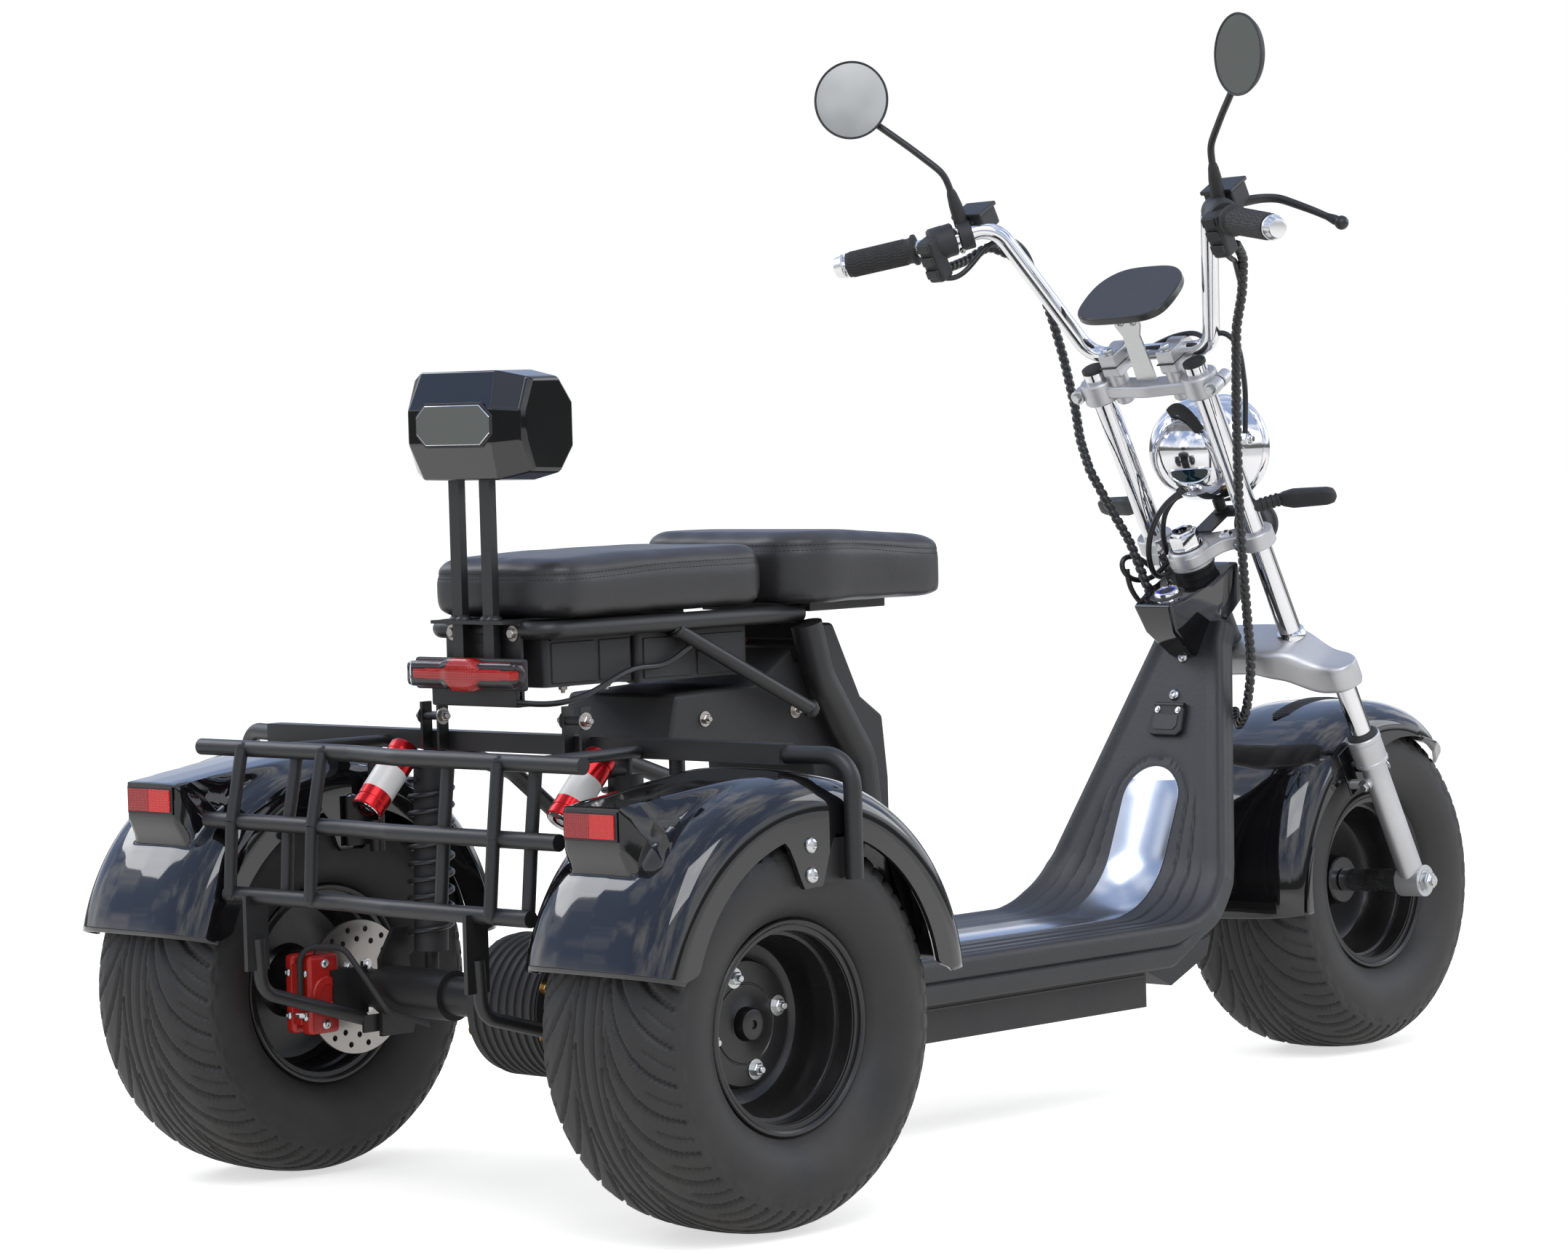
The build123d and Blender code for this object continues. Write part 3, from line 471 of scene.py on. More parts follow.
def tyre_grid(around, across):
    """Carcass section swept round the axle, with sidewall rings and the tread's height."""
    half = [(0.225, 0), (0.2246, 0.020), (0.2232, 0.040), (0.2203, 0.060), (0.2150, 0.0755), (0.2070, 0.0875), (0.1965, 0.0965),
            (0.1840, 0.1020), (0.1700, 0.1045), (0.1550, 0.1035), (0.1400, 0.0990), (0.1280, 0.0910), (0.1205, 0.0830),
            (0.1178, 0.0775), (0.1176, 0.0740), (BEAD_RADIUS, 0.0740)]
    side = rounded_line(half, 600, 60)
    reach = np.concatenate([[0], np.cumsum(np.hypot(*np.diff(side, axis=0).T))])
    spaced = np.concatenate([np.linspace(0, 0.118, across, endpoint=False), np.linspace(0.118, reach[-1], 16)])
    radius, width = np.interp(spaced, reach, side[:, 0]), np.interp(spaced, reach, side[:, 1])
    out_r, out_w = np.gradient(width, spaced), -np.gradient(radius, spaced)
    rings = sum(h * np.exp(-((radius - r) / t) ** 2) for r, h, t in
                ((0.1235, 0.0012, 0.0010), (0.1290, 0.0006, 0.0007), (0.1560, 0.0005, 0.0008), (0.1835, 0.0006, 0.0009))) * (spaced > 0.12)
    angle = np.linspace(0, 2 * math.pi, around, endpoint=False)[:, None]
    halves = []
    for sign in (1, -1):
        height = tread_height(angle + (0.1 if sign > 0 else 0), spaced[None, :]) + rings
        halves.append(np.stack([radius + out_r * height, sign * (width + out_w * height)], -1))
    ring = np.concatenate([halves[1][:, :0:-1], halves[0]], axis=1)
    return ring[..., 0], ring[..., 1], angle


def about_axle(radius, width, angle, centre, spin):
    """A turned grid placed at an axle: (r cos a, w, r sin a) in the wheel's own frame."""
    local = np.stack(np.broadcast_arrays(radius * np.cos(angle), width, radius * np.sin(angle)), -1)
    return centre + local @ spin.T


WHEELS = {"front": (fork_site((33, 0, 0)), fork_frame), "rear_left": (site((0, 379, 225)), np.eye(3)),
          "rear_right": (site((0, -379, 225)), np.eye(3))}
tyre_radius, tyre_width, tyre_angle = tyre_grid(420, 52)
for wheel, (centre, spin) in WHEELS.items():
    points = about_axle(tyre_radius, tyre_width, tyre_angle, centre, spin)
    mesh_piece(wheel + "_tread", points, grid_quads(*points.shape[:2], wrap_rows=True, wrap_columns=True), tyre_rubber,
               wheel + "_wheel", "tyre", sharp=None, hides=[wheel + "_tyre"])

# Rims: pressed steel in satin black, a rolled lip, two ledges and a deep barrel that narrows to
# the web. The rear webs carry a raised hub disc, four flange nuts and a dust cap.
LIP = [(117.0, 76.0), (117.0, 78.6), (115.6, 80.0), (112.6, 80.0), (110.4, 78.2), (109.4, 71.5), (108.2, 69.4), (104.8, 68.6),
       (103.8, 66.8), (103.2, 55.0), (102.2, 52.6), (98.4, 51.8), (97.0, 49.6)]
REAR_FACE = LIP + [(94.0, 22.0), (92.0, 8.0), (88.0, 1.0), (82.0, -2.2), (74.0, -3.0), (71.4, -2.6), (70.0, 0.0), (69.4, 7.4),
                   (67.4, 9.4), (45.0, 10.0), (44.2, 9.2), (43.2, 9.2), (42.4, 10.2), (20.0, 10.8), (18.6, 11.4), (17.8, 21.0),
                   (16.4, 23.4), (13.0, 24.2), (5.0, 24.2), (4.4, 21.5), (0.0, 21.5)]
FRONT_FACE = LIP + [(94.0, 30.0), (91.0, 14.0), (86.0, 6.4), (78.0, 3.4), (40.0, 3.0), (36.0, 4.0), (33.0, 8.0), (32.0, 28.0), (30.0, 30.0), (9.0, 30.0)]
REAR_BACK = [(34.0, -66.0), (36.0, -64.0), (38.0, -14.0), (44.0, -9.0), (80.0, -8.0), (92.0, -10.0), (98.0, -18.0), (99.6, -40.0),
             (100.2, -52.0), (103.8, -56.0), (104.6, -68.0), (108.6, -70.0), (110.4, -78.2), (112.6, -80.0), (115.6, -80.0), (117.0, -78.6), (117.0, -76.0)]
BARREL = [(104.4, -74.6), (103.0, -70.0), (103.0, 70.0), (104.4, 74.6)]


def rim_profile(face, back):
    """Closed (radius, width) section, in metres: outer face from lip to centre, back, barrel."""
    return np.array(list(face) + list(back) + BARREL) / 1000


rim_angle = np.linspace(0, 2 * math.pi, 120, endpoint=False)[:, None]
front_back = [(9.0, -30.0)] + [(r, -w) for r, w in FRONT_FACE[:-1][::-1]]
for wheel, side, face, back in (("front", 1, FRONT_FACE, front_back), ("rear_left", 1, REAR_FACE, [(0.0, -66.0)] + REAR_BACK),
                                ("rear_right", -1, REAR_FACE, [(0.0, -66.0)] + REAR_BACK)):
    profile = rim_profile(face, back)
    centre, spin = WHEELS[wheel]
    points = about_axle(profile[None, :, 0], side * profile[None, :, 1], rim_angle, centre, spin)
    mesh_piece(wheel + "_rim_pressing", points, grid_quads(*points.shape[:2], wrap_rows=True, wrap_columns=True), rim_black,
               wheel + "_wheel", "rim", sharp=28, hides=[wheel + "_rim"])


def turned_shape(profile, around):
    """Points and faces of (radius, height) pairs turned about the local Z axis."""
    profile = np.asarray(profile, float)
    angle = np.linspace(0, 2 * math.pi, around, endpoint=False)[:, None]
    points = np.stack(np.broadcast_arrays(profile[:, 0] * np.cos(angle), profile[:, 0] * np.sin(angle), profile[:, 1]), -1)
    return points.reshape(-1, 3), grid_quads(around, len(profile), wrap_rows=True)


def joined(*shapes):
    """Several shapes of points and faces as one."""
    counts = np.cumsum([0] + [len(points) for points, _ in shapes])
    return np.concatenate([points for points, _ in shapes]), np.concatenate([quads + n for (_, quads), n in zip(shapes, counts)])


def frame_along(direction):
    """A 3 by 3 frame whose third column is the direction."""
    axis = np.asarray(direction, float) / np.linalg.norm(direction)
    helper = np.array([0.0, 0, 1]) if abs(axis[2]) < 0.8 else np.array([1.0, 0, 0])
    first = np.cross(helper, axis)
    first /= np.linalg.norm(first)
    return np.stack([first, np.cross(axis, first), axis], 1)


def stamped(name, shape, places, material, body, slot_name, sharp=35.0, hides=()):
    """Copies of one shape at (point in metres, direction of its Z axis, size in metres)."""
    copies = [(np.asarray(place) + (shape[0] * size) @ frame_along(direction).T, shape[1]) for place, direction, size in places]
    points, quads = joined(*copies)
    return mesh_piece(name, points, quads, material, body, slot_name, sharp=sharp, hides=hides)


# Hex bolt on a washer and a dome-head bolt with a hex socket; sizes are the head's radius
hex_bolt = joined(turned_shape([(0, 0), (1.45, 0), (1.45, 0.2), (0, 0.2)], 20),
                  turned_shape([(0, 0.15), (0.98, 0.15), (0.98, 0.78), (0.82, 0.92), (0, 0.92)], 6))
stud_nut = joined(hex_bolt, turned_shape([(0, 0.9), (0.5, 0.9), (0.5, 1.5), (0.42, 1.6), (0, 1.6)], 16))
dome_bolt = turned_shape([(0, 0), (1, 0), (1, 0.12), (0.93, 0.3), (0.74, 0.48), (0.46, 0.56), (0.44, 0.3), (0, 0.3)], 24)

hub_nuts = []
for degrees in (16, 106, 196, 286):
    a = math.radians(degrees)
    hub_nuts.append((np.array([53 * math.cos(a), 53 * math.sin(a)]), degrees))
for wheel, side in (("rear_left", 1), ("rear_right", -1)):
    places = [(site((spot[0], side * (379 + 9.6), 225 + spot[1])), (0, side, 0), 0.0078) for spot, _ in hub_nuts]
    stamped(wheel + "_hub_nuts", stud_nut, places, zinc, wheel + "_wheel", "steel")
# Rear fenders: thin gloss black mouldings, an arch with a soft shoulder and a turned-in edge.
# A tongue on each side takes two bolts, and a raised hood at the back carries the reflector.
FENDER_CENTRE = (15.0, 244.0)
FENDER_RADIUS = 255.0


def skin_piece(name, grid, centre, wall, material, body, slot_name, hides=()):
    """An open grid of points as a skin with a wall thickness, faced away from a centre point."""
    quads = grid_quads(*grid.shape[:2])
    flat = grid.reshape(-1, 3)
    normal = np.cross(flat[quads[:, 1]] - flat[quads[:, 0]], flat[quads[:, 3]] - flat[quads[:, 0]])
    if np.sum(normal * (flat[quads[:, 0]] - centre)) < 0:
        quads = quads[:, ::-1]
    piece = mesh_piece(name, flat, quads, material, body, slot_name, sharp=50, hides=hides, merge=False)
    wall_modifier = piece.modifiers.new("wall", "SOLIDIFY")
    wall_modifier.thickness = wall
    wall_modifier.offset = -1
    return piece


def fender_half(crown, half_width, edge, columns=26, side_columns=12):
    """(radius, width) of half a section for each edge radius: crown, shoulder, side wall, lip."""
    arch = rounded_line([(crown, 0), (crown - 0.5, 40), (crown - 2.5, 66), (crown - 7, 86), (crown - 16, 102), (crown - 29, half_width - 1), (crown - 43, half_width)], columns, 3)
    side = np.linspace(0, 1, side_columns)[None, 1:]
    wall_r = (crown - 43) + (edge[:, None] - (crown - 43)) * side
    lip = edge[:, None] + np.array([[-0.8, 0.4]])
    radius = np.concatenate([np.repeat(arch[None, :, 0], len(edge), 0), wall_r, lip], 1)
    width = np.concatenate([arch[:, 1], np.full(side_columns - 1, half_width), [half_width - 3.5, half_width - 7]])
    return radius, np.repeat(width[None, :], len(edge), 0)


def tongue(degrees, middle, flat, soft, depth):
    return depth * (1 - smooth_step(np.abs(degrees - middle), flat, soft))


def hood_rise(degrees, width):
    """Extra radius of the reflector's hood: the lower of its sloping top and its upright back."""
    a = np.radians(degrees)[:, None]
    top = 257.4 / np.maximum(np.sin(a) - 0.128 * np.cos(a), 0.05)
    back = 214.0 / np.maximum(-np.cos(a), 0.05)
    rise = np.clip(np.minimum(top, back) - FENDER_RADIUS, 0, None) * smooth_step(degrees, 84, 98)[:, None]
    rise = rise * (1 - smooth_step(degrees, 138.6, 142.5)[:, None])
    half = np.interp(degrees, [90, 133], [58, 44])[:, None]
    soft = np.interp(degrees, [90, 133], [30, 7])[:, None]
    return rise * (1 - smooth_step(np.abs(width + 12), half, half + soft))


fender_degrees = np.concatenate([np.linspace(6, 120, 76, endpoint=False), np.linspace(120, 146, 54, endpoint=False), np.linspace(146, 167, 16)])
ends = 20 * smooth_step(fender_degrees, 160, 167) ** 2 + 20 * (1 - smooth_step(fender_degrees, 6, 12)) ** 2
outer_edge = 190 + ends - tongue(fender_degrees, 93, 5.5, 12, 57)
inner_edge = 190 + ends - tongue(fender_degrees, 89, 7, 13, 50)
outer_r, outer_w = fender_half(FENDER_RADIUS, 112, outer_edge, 36)
inner_r, inner_w = fender_half(FENDER_RADIUS, 112, inner_edge, 36)
fender_r = np.concatenate([inner_r[:, :0:-1], outer_r], 1)
fender_w = np.concatenate([-inner_w[:, :0:-1], outer_w], 1)
fender_r = fender_r + hood_rise(fender_degrees, fender_w)
fender_a = np.radians(fender_degrees)[:, None]
for name, side in (("left", 1), ("right", -1)):
    grid = np.stack([FENDER_CENTRE[0] + fender_r * np.cos(fender_a), side * (379 + fender_w), FENDER_CENTRE[1] + fender_r * np.sin(fender_a)], -1)
    skin_piece("rear_fender_skin_" + name, site(grid), site((15, side * 379, 244)), 0.0025, gloss_black, "chassis", "gloss",
               hides=["rear_fender_" + name])
flap_bolts = [(site((x, side * y, z)), (0, side * way, 0), 0.0088) for side in (1, -1)
              for x, y, z, way in ((5, 491.2, 422, 1), (5, 491.2, 390, 1), (18, 266.8, 440, -1), (18, 266.8, 405, -1))]
stamped("fender_bolts", dome_bolt, flap_bolts, zinc, "chassis", "steel")

# Reflectors: ribbed red lenses in a thin dark frame. The half of each lens towards the scooter's left is darker by
# painted shade, and both halves carry a painted glow, weaker on the darker half


def soft_box(name, low, high, bevel, material, body, slot_name, place=site, hides=()):
    """A box between two corners in millimetres with bevelled edges."""
    low, high = np.asarray(low, float), np.asarray(high, float)
    pick = np.array([[0, 0, 0], [1, 0, 0], [1, 1, 0], [0, 1, 0], [0, 0, 1], [1, 0, 1], [1, 1, 1], [0, 1, 1]])
    points = place(low + pick * (high - low))
    quads = [[0, 3, 2, 1], [4, 5, 6, 7], [0, 1, 5, 4], [1, 2, 6, 5], [2, 3, 7, 6], [3, 0, 4, 7]]
    piece = mesh_piece(name, points, quads, material, body, slot_name, sharp=None, hides=hides)
    edge = piece.modifiers.new("edge", "BEVEL")
    edge.width = bevel / 1000
    edge.segments = 3
    edge.harden_normals = True
    return piece


def lens_red(name, colour, emission):
    """Red plastic with fine crossed prisms as bump, and a glow from emission in its own colour."""
    material = finish(name, colour, 0.22, grain=900, bump=0.05, dust=0.03)
    tree = material.node_tree
    shader = tree.nodes["Principled BSDF"]
    place = tree.nodes.new("ShaderNodeTexCoord").outputs["Object"]
    waves = []
    for direction in ("Y", "Z"):
        wave = tree.nodes.new("ShaderNodeTexWave")
        wave.bands_direction = direction
        wave.inputs["Scale"].default_value = 110
        link(tree, place, wave.inputs["Vector"])
        waves.append(wave.outputs["Fac"])
    relief = tree.nodes.new("ShaderNodeBump")
    relief.inputs["Strength"].default_value = 0.6
    relief.inputs["Distance"].default_value = 0.0006
    link(tree, math_node(tree, "ADD", waves[0], waves[1]), relief.inputs["Height"])
    link(tree, relief.outputs["Normal"], shader.inputs["Normal"])
    shader.inputs["Emission Color"].default_value = tuple(colour) + (1,)
    shader.inputs["Emission Strength"].default_value = emission
    return material


# Two copies of one glowing red: the second is darker with half the glow, as painted shade. On the reflectors the glow
# is painted light
lens_glowing = lens_red("lens_glowing", (0.50, 0.014, 0.010), 0.12)
lens_glowing_shaded = lens_red("lens_glowing_shaded", (0.28, 0.009, 0.008), 0.06)
for name, side in (("left", 1), ("right", -1)):
    soft_box("reflector_frame_" + name, (-201.2, min(side * 327, side * 408), 438), (-199.0, max(side * 327, side * 408), 470), 0.9, mould_black,
             "chassis", "red", hides=["reflectors"])
    near, middle, far = sorted((side * 408, side * 368, side * 327))
    soft_box("reflector_lens_a_" + name, (-203.0, near + 3, 441), (-200.6, middle, 467), 0.7, lens_glowing, "chassis", "red")
    soft_box("reflector_lens_b_" + name, (-203.0, middle, 441), (-200.6, far - 3, 467), 0.7, lens_glowing_shaded, "chassis", "red")

# Front fender: one gloss black moulding over the wheel, deep at the back, with a rubber strip of
# cross ribs on its crown and a pointed front lip. It turns with the fork.
front_degrees = np.linspace(47, 187, 150)
front_edge = (np.interp(front_degrees, [47, 60, 84, 100, 128, 152, 187], [226, 206, 190, 176, 184, 196, 214]))
front_edge = np.convolve(np.pad(front_edge, 6, mode="edge"), np.ones(13) / 13, "valid")
front_r, front_w = fender_half(244, 116, front_edge)
front_w = front_w * np.interp(front_degrees, [47, 56, 70, 187], [0.80, 0.93, 1.0, 1.0])[:, None]
front_r = np.concatenate([front_r[:, :0:-1], front_r], 1)
front_w = np.concatenate([-front_w[:, :0:-1], front_w], 1)
front_a = np.radians(front_degrees)[:, None]
front_grid = np.stack(np.broadcast_arrays(1515 + front_r * np.cos(front_a), front_w, 226.6 + front_r * np.sin(front_a)), -1)
skin_piece("front_fender_skin", steered_site(front_grid), steered_site((1515, 0, 226.6)), 0.003, gloss_black, "steering", "gloss",
           hides=["front_fender"])
rib_turn = np.linspace(0, 1, 280)
rib_degrees = 52 + 62 * rib_turn
rib_columns = np.linspace(-1, 1, 15)[None, :]
rib_height = 2.2 * (1 - np.abs(rib_columns) ** 6) * (0.35 + 0.65 * (np.sin(rib_turn[:, None] * 2 * math.pi * 46) > -0.3))
rib_half = 14 * np.minimum(1, np.minimum(rib_turn, 1 - rib_turn) * 12 + 0.25)[:, None]
rib_r = 244.2 + rib_height
rib_a = np.radians(rib_degrees)[:, None]
rib_grid = np.stack(np.broadcast_arrays(1515 + rib_r * np.cos(rib_a), rib_half * rib_columns, 226.6 + rib_r * np.sin(rib_a)), -1)
skin_piece("front_fender_strip", steered_site(rib_grid), steered_site((1515, 0, 226.6)), 0.0015, dark_rubber, "steering", "rubber")
for name, side in (("left", 1), ("right", -1)):
    soft_box("front_fender_tab_" + name, (4, min(side * 113, side * 116.1), 150), (62, max(side * 113, side * 116.1), 212), 1.0, gloss_black,
             "steering", "gloss", place=fork_site)
# Cushions: foam blocks in black grained vinyl. The cover is swelled over the foam by a cloth
# simulation, pulled in along a welt near the top edge and sewn there with two rows of thread.
vinyl = finish("vinyl", (0.022, 0.022, 0.024), 0.40, grain=1000, coarse=1.2, bump=0.30, dust=0.05, second=(0.030, 0.030, 0.032), blotch=9, rough_spread=0.1, bump_distance=0.0005)
thread = finish("thread", (0.010, 0.010, 0.011), 0.7, grain=3000, bump=0.3, dust=0.02)


def settled(piece):
    """Replaces a piece's mesh by its evaluated shape, with no modifiers left."""
    graph = bpy.context.evaluated_depsgraph_get()
    mesh = bpy.data.meshes.new_from_object(piece.evaluated_get(graph))
    piece.modifiers.clear()
    piece.data = mesh


def coordinates(mesh):
    flat = np.empty(len(mesh.vertices) * 3, np.float32)
    mesh.vertices.foreach_get("co", flat)
    return flat.reshape(-1, 3).astype(float)


def cushion(name, node, slope, cap=0.0045, seam_drop=0.017):
    """Foam block of the CAD node's size. It starts 5 mm smaller, swells, and moves at most cap."""
    low, high = np.array(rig.box(node)[0]), np.array(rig.box(node)[1])
    middle = (low + high) / 2
    mesh = nodes[node].data.copy()
    piece = bpy.data.objects.new(name, mesh)
    bpy.context.scene.collection.objects.link(piece)
    start = coordinates(mesh)
    start = middle + (start - middle) * (1 - 0.003 / ((high - low) / 2))
    mesh.vertices.foreach_set("co", start.ravel())
    remesh = piece.modifiers.new("remesh", "REMESH")
    remesh.mode = "VOXEL"
    remesh.voxel_size = 0.0066
    soft = piece.modifiers.new("soft", "SMOOTH")
    soft.factor, soft.iterations = 0.5, 6
    settled(piece)
    base = coordinates(piece.data)
    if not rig.quick():
        cloth = piece.modifiers.new("cloth", "CLOTH")
        cloth.settings.quality = 4
        cloth.settings.mass = 0.3
        cloth.settings.tension_stiffness = cloth.settings.compression_stiffness = 20
        cloth.settings.shear_stiffness = 8
        cloth.settings.bending_stiffness = 0.6
        cloth.settings.use_pressure = True
        cloth.settings.uniform_pressure_force = 4
        cloth.settings.effector_weights.gravity = 0
        cloth.point_cache.frame_start, cloth.point_cache.frame_end = 1, 20
        for step in range(1, 21):
            bpy.context.scene.frame_set(step)
        settled(piece)
        bpy.context.scene.frame_set(1)
    now = coordinates(piece.data)
    move = now - base
    length = np.linalg.norm(move, axis=1, keepdims=True)
    now = base + move * np.minimum(1, cap / np.maximum(length, 1e-9))
    piece.data.vertices.foreach_set("co", now.ravel())
    taut = piece.modifiers.new("taut", "SMOOTH")
    taut.factor, taut.iterations = 0.5, 9
    settled(piece)
    now = coordinates(piece.data)
    top = high[2] - 0.002
    now[:, 2] -= slope(now[:, 0]) * np.clip((now[:, 2] - low[2]) / (high[2] - low[2]), 0, 1)
    seam = top - seam_drop - slope(now[:, 0])
    inward = now - middle
    inward[:, 2] = 0
    inward /= np.maximum(np.linalg.norm(inward, axis=1, keepdims=True), 1e-6)
    now -= inward * (0.0022 * np.exp(-((now[:, 2] - seam) / 0.0022) ** 2))[:, None]
    now = np.clip(now, low + [0.0005, 0.0005, 0.0004], high - [0.0005, 0.0005, 0.0004])
    piece.data.vertices.foreach_set("co", now.ravel())
    piece.data.update()
    finer = piece.modifiers.new("finer", "SUBSURF")
    finer.levels = finer.render_levels = 1
    settled(piece)
    piece.data.shade_smooth()
    piece.data.materials.clear()
    piece.data.materials.append(vinyl)
    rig.ride(piece, "chassis")
    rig.slot(piece, "cushion")
    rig.replaces(piece, node)
    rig.padded(piece, fill=0.8)
    tree = BVHTree.FromPolygons([tuple(p) for p in coordinates(piece.data)], [tuple(p.vertices) for p in piece.data.polygons])
    stitches = []
    for drop in (seam_drop - 0.003, seam_drop + 0.003):
        around = np.linspace(0, 2 * math.pi, 190 if high[1] < 0.13 else 200, endpoint=False)
        half = (high - low) / 2
        rim_x = middle[0] + (half[0] + 0.03) * np.sign(np.cos(around)) * np.abs(np.cos(around)) ** 0.55
        rim_y = middle[1] + (half[1] + 0.03) * np.sign(np.sin(around)) * np.abs(np.sin(around)) ** 0.55
        hits = []
        for x, y in zip(rim_x, rim_y):
            level = top - drop - float(slope(np.array([x]))[0])
            aim = Vector((middle[0] + 0.72 * (x - middle[0]) - x, middle[1] + 0.72 * (y - middle[1]) - y, 0)).normalized()
            hit = tree.ray_cast(Vector((x, y, level)), aim)[0]
            if hit is not None:
                hits.append(np.array(hit))
        hits = np.array(hits + hits[:1])
        reach = np.concatenate([[0], np.cumsum(np.linalg.norm(np.diff(hits, axis=0), axis=1))])
        count = int(reach[-1] / 0.0055)
        along = np.linspace(0, reach[-1], count, endpoint=False)
        spot = np.stack([np.interp(along, reach, hits[:, k]) for k in range(3)], 1)
        ahead = np.stack([np.interp((along + 0.001) % reach[-1], reach, hits[:, k]) for k in range(3)], 1)
        stitches += [(p, q - p, 0.001) for p, q in zip(spot, ahead) if np.linalg.norm(q - p) > 1e-5]
    stitch = turned_shape([(0, 0), (0.45, 0.3), (0.5, 1.0), (0.5, 2.6), (0.45, 3.3), (0, 3.6)], 6)
    stamped(name + "_stitches", stitch, stitches, thread, "chassis", "cushion", sharp=None)
    return piece


rear_seat = cushion("rear_seat_pad", "rear_cushion", lambda x: 0.006 * smooth_step(-x, 0.55, 0.76))
front_seat = cushion("front_seat_pad", "front_cushion", lambda x: 0.013 * smooth_step(x, -0.34, -0.11))
# Footboard and leg shield: one grained black moulding that bends up at the knee, rolled over
# along its edges. Flowing steps in its face run round the aluminium tread plate.
FLOOR_REAR, KNEE, SHIELD_TOP_X, FLOOR_LEVEL, SHIELD_TOP_Z, KNEE_BEND = 530.0, 1092.0, 1243.0, 222.0, 590.0, 120.0
SHIELD_LEAN = math.atan2(SHIELD_TOP_X - KNEE, SHIELD_TOP_Z - FLOOR_LEVEL)
KNEE_TURN = math.pi / 2 - SHIELD_LEAN
TANGENT = KNEE_BEND * math.tan(KNEE_TURN / 2)
FLAT_RUN = KNEE - TANGENT - FLOOR_REAR
BEND_RUN = KNEE_BEND * KNEE_TURN
BOARD_RUN = FLAT_RUN + BEND_RUN + (SHIELD_TOP_Z - FLOOR_LEVEL) / math.cos(SHIELD_LEAN) - TANGENT
PLATE_HALF = 46.0
PLATE_END = FLAT_RUN + BEND_RUN + 117.0


def board_line(run):
    """(x, z) and upward normal (x, z) of the moulding's face at a distance along it."""
    turn = np.clip((run - FLAT_RUN) / KNEE_BEND, 0, KNEE_TURN)
    beyond = np.maximum(run - FLAT_RUN - BEND_RUN, 0)
    x = FLOOR_REAR + np.minimum(run, FLAT_RUN) + KNEE_BEND * np.sin(turn) + beyond * math.sin(SHIELD_LEAN)
    z = FLOOR_LEVEL + KNEE_BEND * (1 - np.cos(turn)) + beyond * math.cos(SHIELD_LEAN)
    return x, z, -np.sin(turn), np.cos(turn)


def board_points(run, across, height):
    """Millimetre points at a run, a sideways place and a height over the face."""
    x, z, nx, nz = board_line(run)
    return np.stack(np.broadcast_arrays(x + nx * height, across, z + nz * height), -1)


def face_steps(run, across, half):
    """Height of the moulded steps: each drops sharply and comes back over its outer side."""
    centre = PLATE_END - PLATE_HALF
    away = np.where(run < centre, np.abs(across), np.hypot(across, run - centre)) - PLATE_HALF - 1
    room = np.maximum(half - 27 - PLATE_HALF, 12)
    height = np.zeros(np.broadcast(run, across).shape)
    for part, last, depth in ((0.26, 2000, 2.4), (0.56, PLATE_END - 12, 2.6), (0.84, FLAT_RUN + BEND_RUN + 6, 2.4)):
        beyond = away - part * room
        fade = (1 - smooth_step(run, last - 70, last)) * smooth_step(run, 4, 24)
        height -= depth * fade * np.exp(-np.clip(beyond, 0, None) / 6) * smooth_step(beyond, -0.8, 0.4)
    return height


board_run = np.concatenate([np.linspace(0, FLAT_RUN, 60, endpoint=False), np.linspace(FLAT_RUN, FLAT_RUN + BEND_RUN, 56, endpoint=False),
                            np.linspace(FLAT_RUN + BEND_RUN, BOARD_RUN, 76)])[:, None]
board_x = board_line(board_run)[0]
board_half = np.interp(board_x, [530, 1040, 1075, 1112, 1233, 1333], [165, 165, 162, 151, 58, 48])
rim_depth = 26 + 26 * (1 - smooth_step(board_x, 990, 1050))
floorness = (rim_depth - 26) / 26
edge_in = [16, 5, 1.2, 0, 0.4, None, 0.4, 0, 0, 1.0, 4.0, 9, 15, 21, 27]
edge_drop = [-1, -1, -0.93, -0.80, -0.56, -0.50, -0.44, -12, -6, -1.6, 1.4, 2.9, 2.3, 0.7, 0]
left_in = np.concatenate([(0.6 + 3.4 * floorness) if e is None else np.full_like(board_run, e) for e in edge_in], 1)
left_drop = np.concatenate([(rim_depth * d if -1 <= d < 0 else np.full_like(board_run, d)) for d in edge_drop], 1)
left_drop = np.where((left_drop == -12) & (rim_depth < 40), -0.30 * rim_depth, left_drop)
face_t = np.linspace(-1, 1, 117)[None, 1:-1]
face_y = -face_t * (board_half - 27)
face_d = face_steps(board_run, face_y, board_half)
section_y = np.concatenate([board_half - left_in, face_y, -(board_half - left_in)[:, ::-1], -(board_half - 16), board_half - 16], 1)
section_d = np.concatenate([left_drop, face_d, left_drop[:, ::-1], np.full_like(board_run, -12), np.full_like(board_run, -12)], 1)
board_grid = site(board_points(board_run, section_y, section_d))


def capped_sweep(grid):
    """Points and faces of closed sections joined in rows, each end drawn to its middle point."""
    rows, columns = grid.shape[:2]
    ends = np.stack([np.repeat(grid[:1].mean(1, keepdims=True), columns, 1), np.repeat(grid[-1:].mean(1, keepdims=True), columns, 1)])
    full = np.concatenate([ends[0], grid, ends[1]])
    return full.reshape(-1, 3), grid_quads(rows + 2, columns, wrap_columns=True)


points, quads = capped_sweep(board_grid)
mesh_piece("footboard_moulding", points, quads, board_black, "chassis", "board", sharp=42, hides=["footboard"])

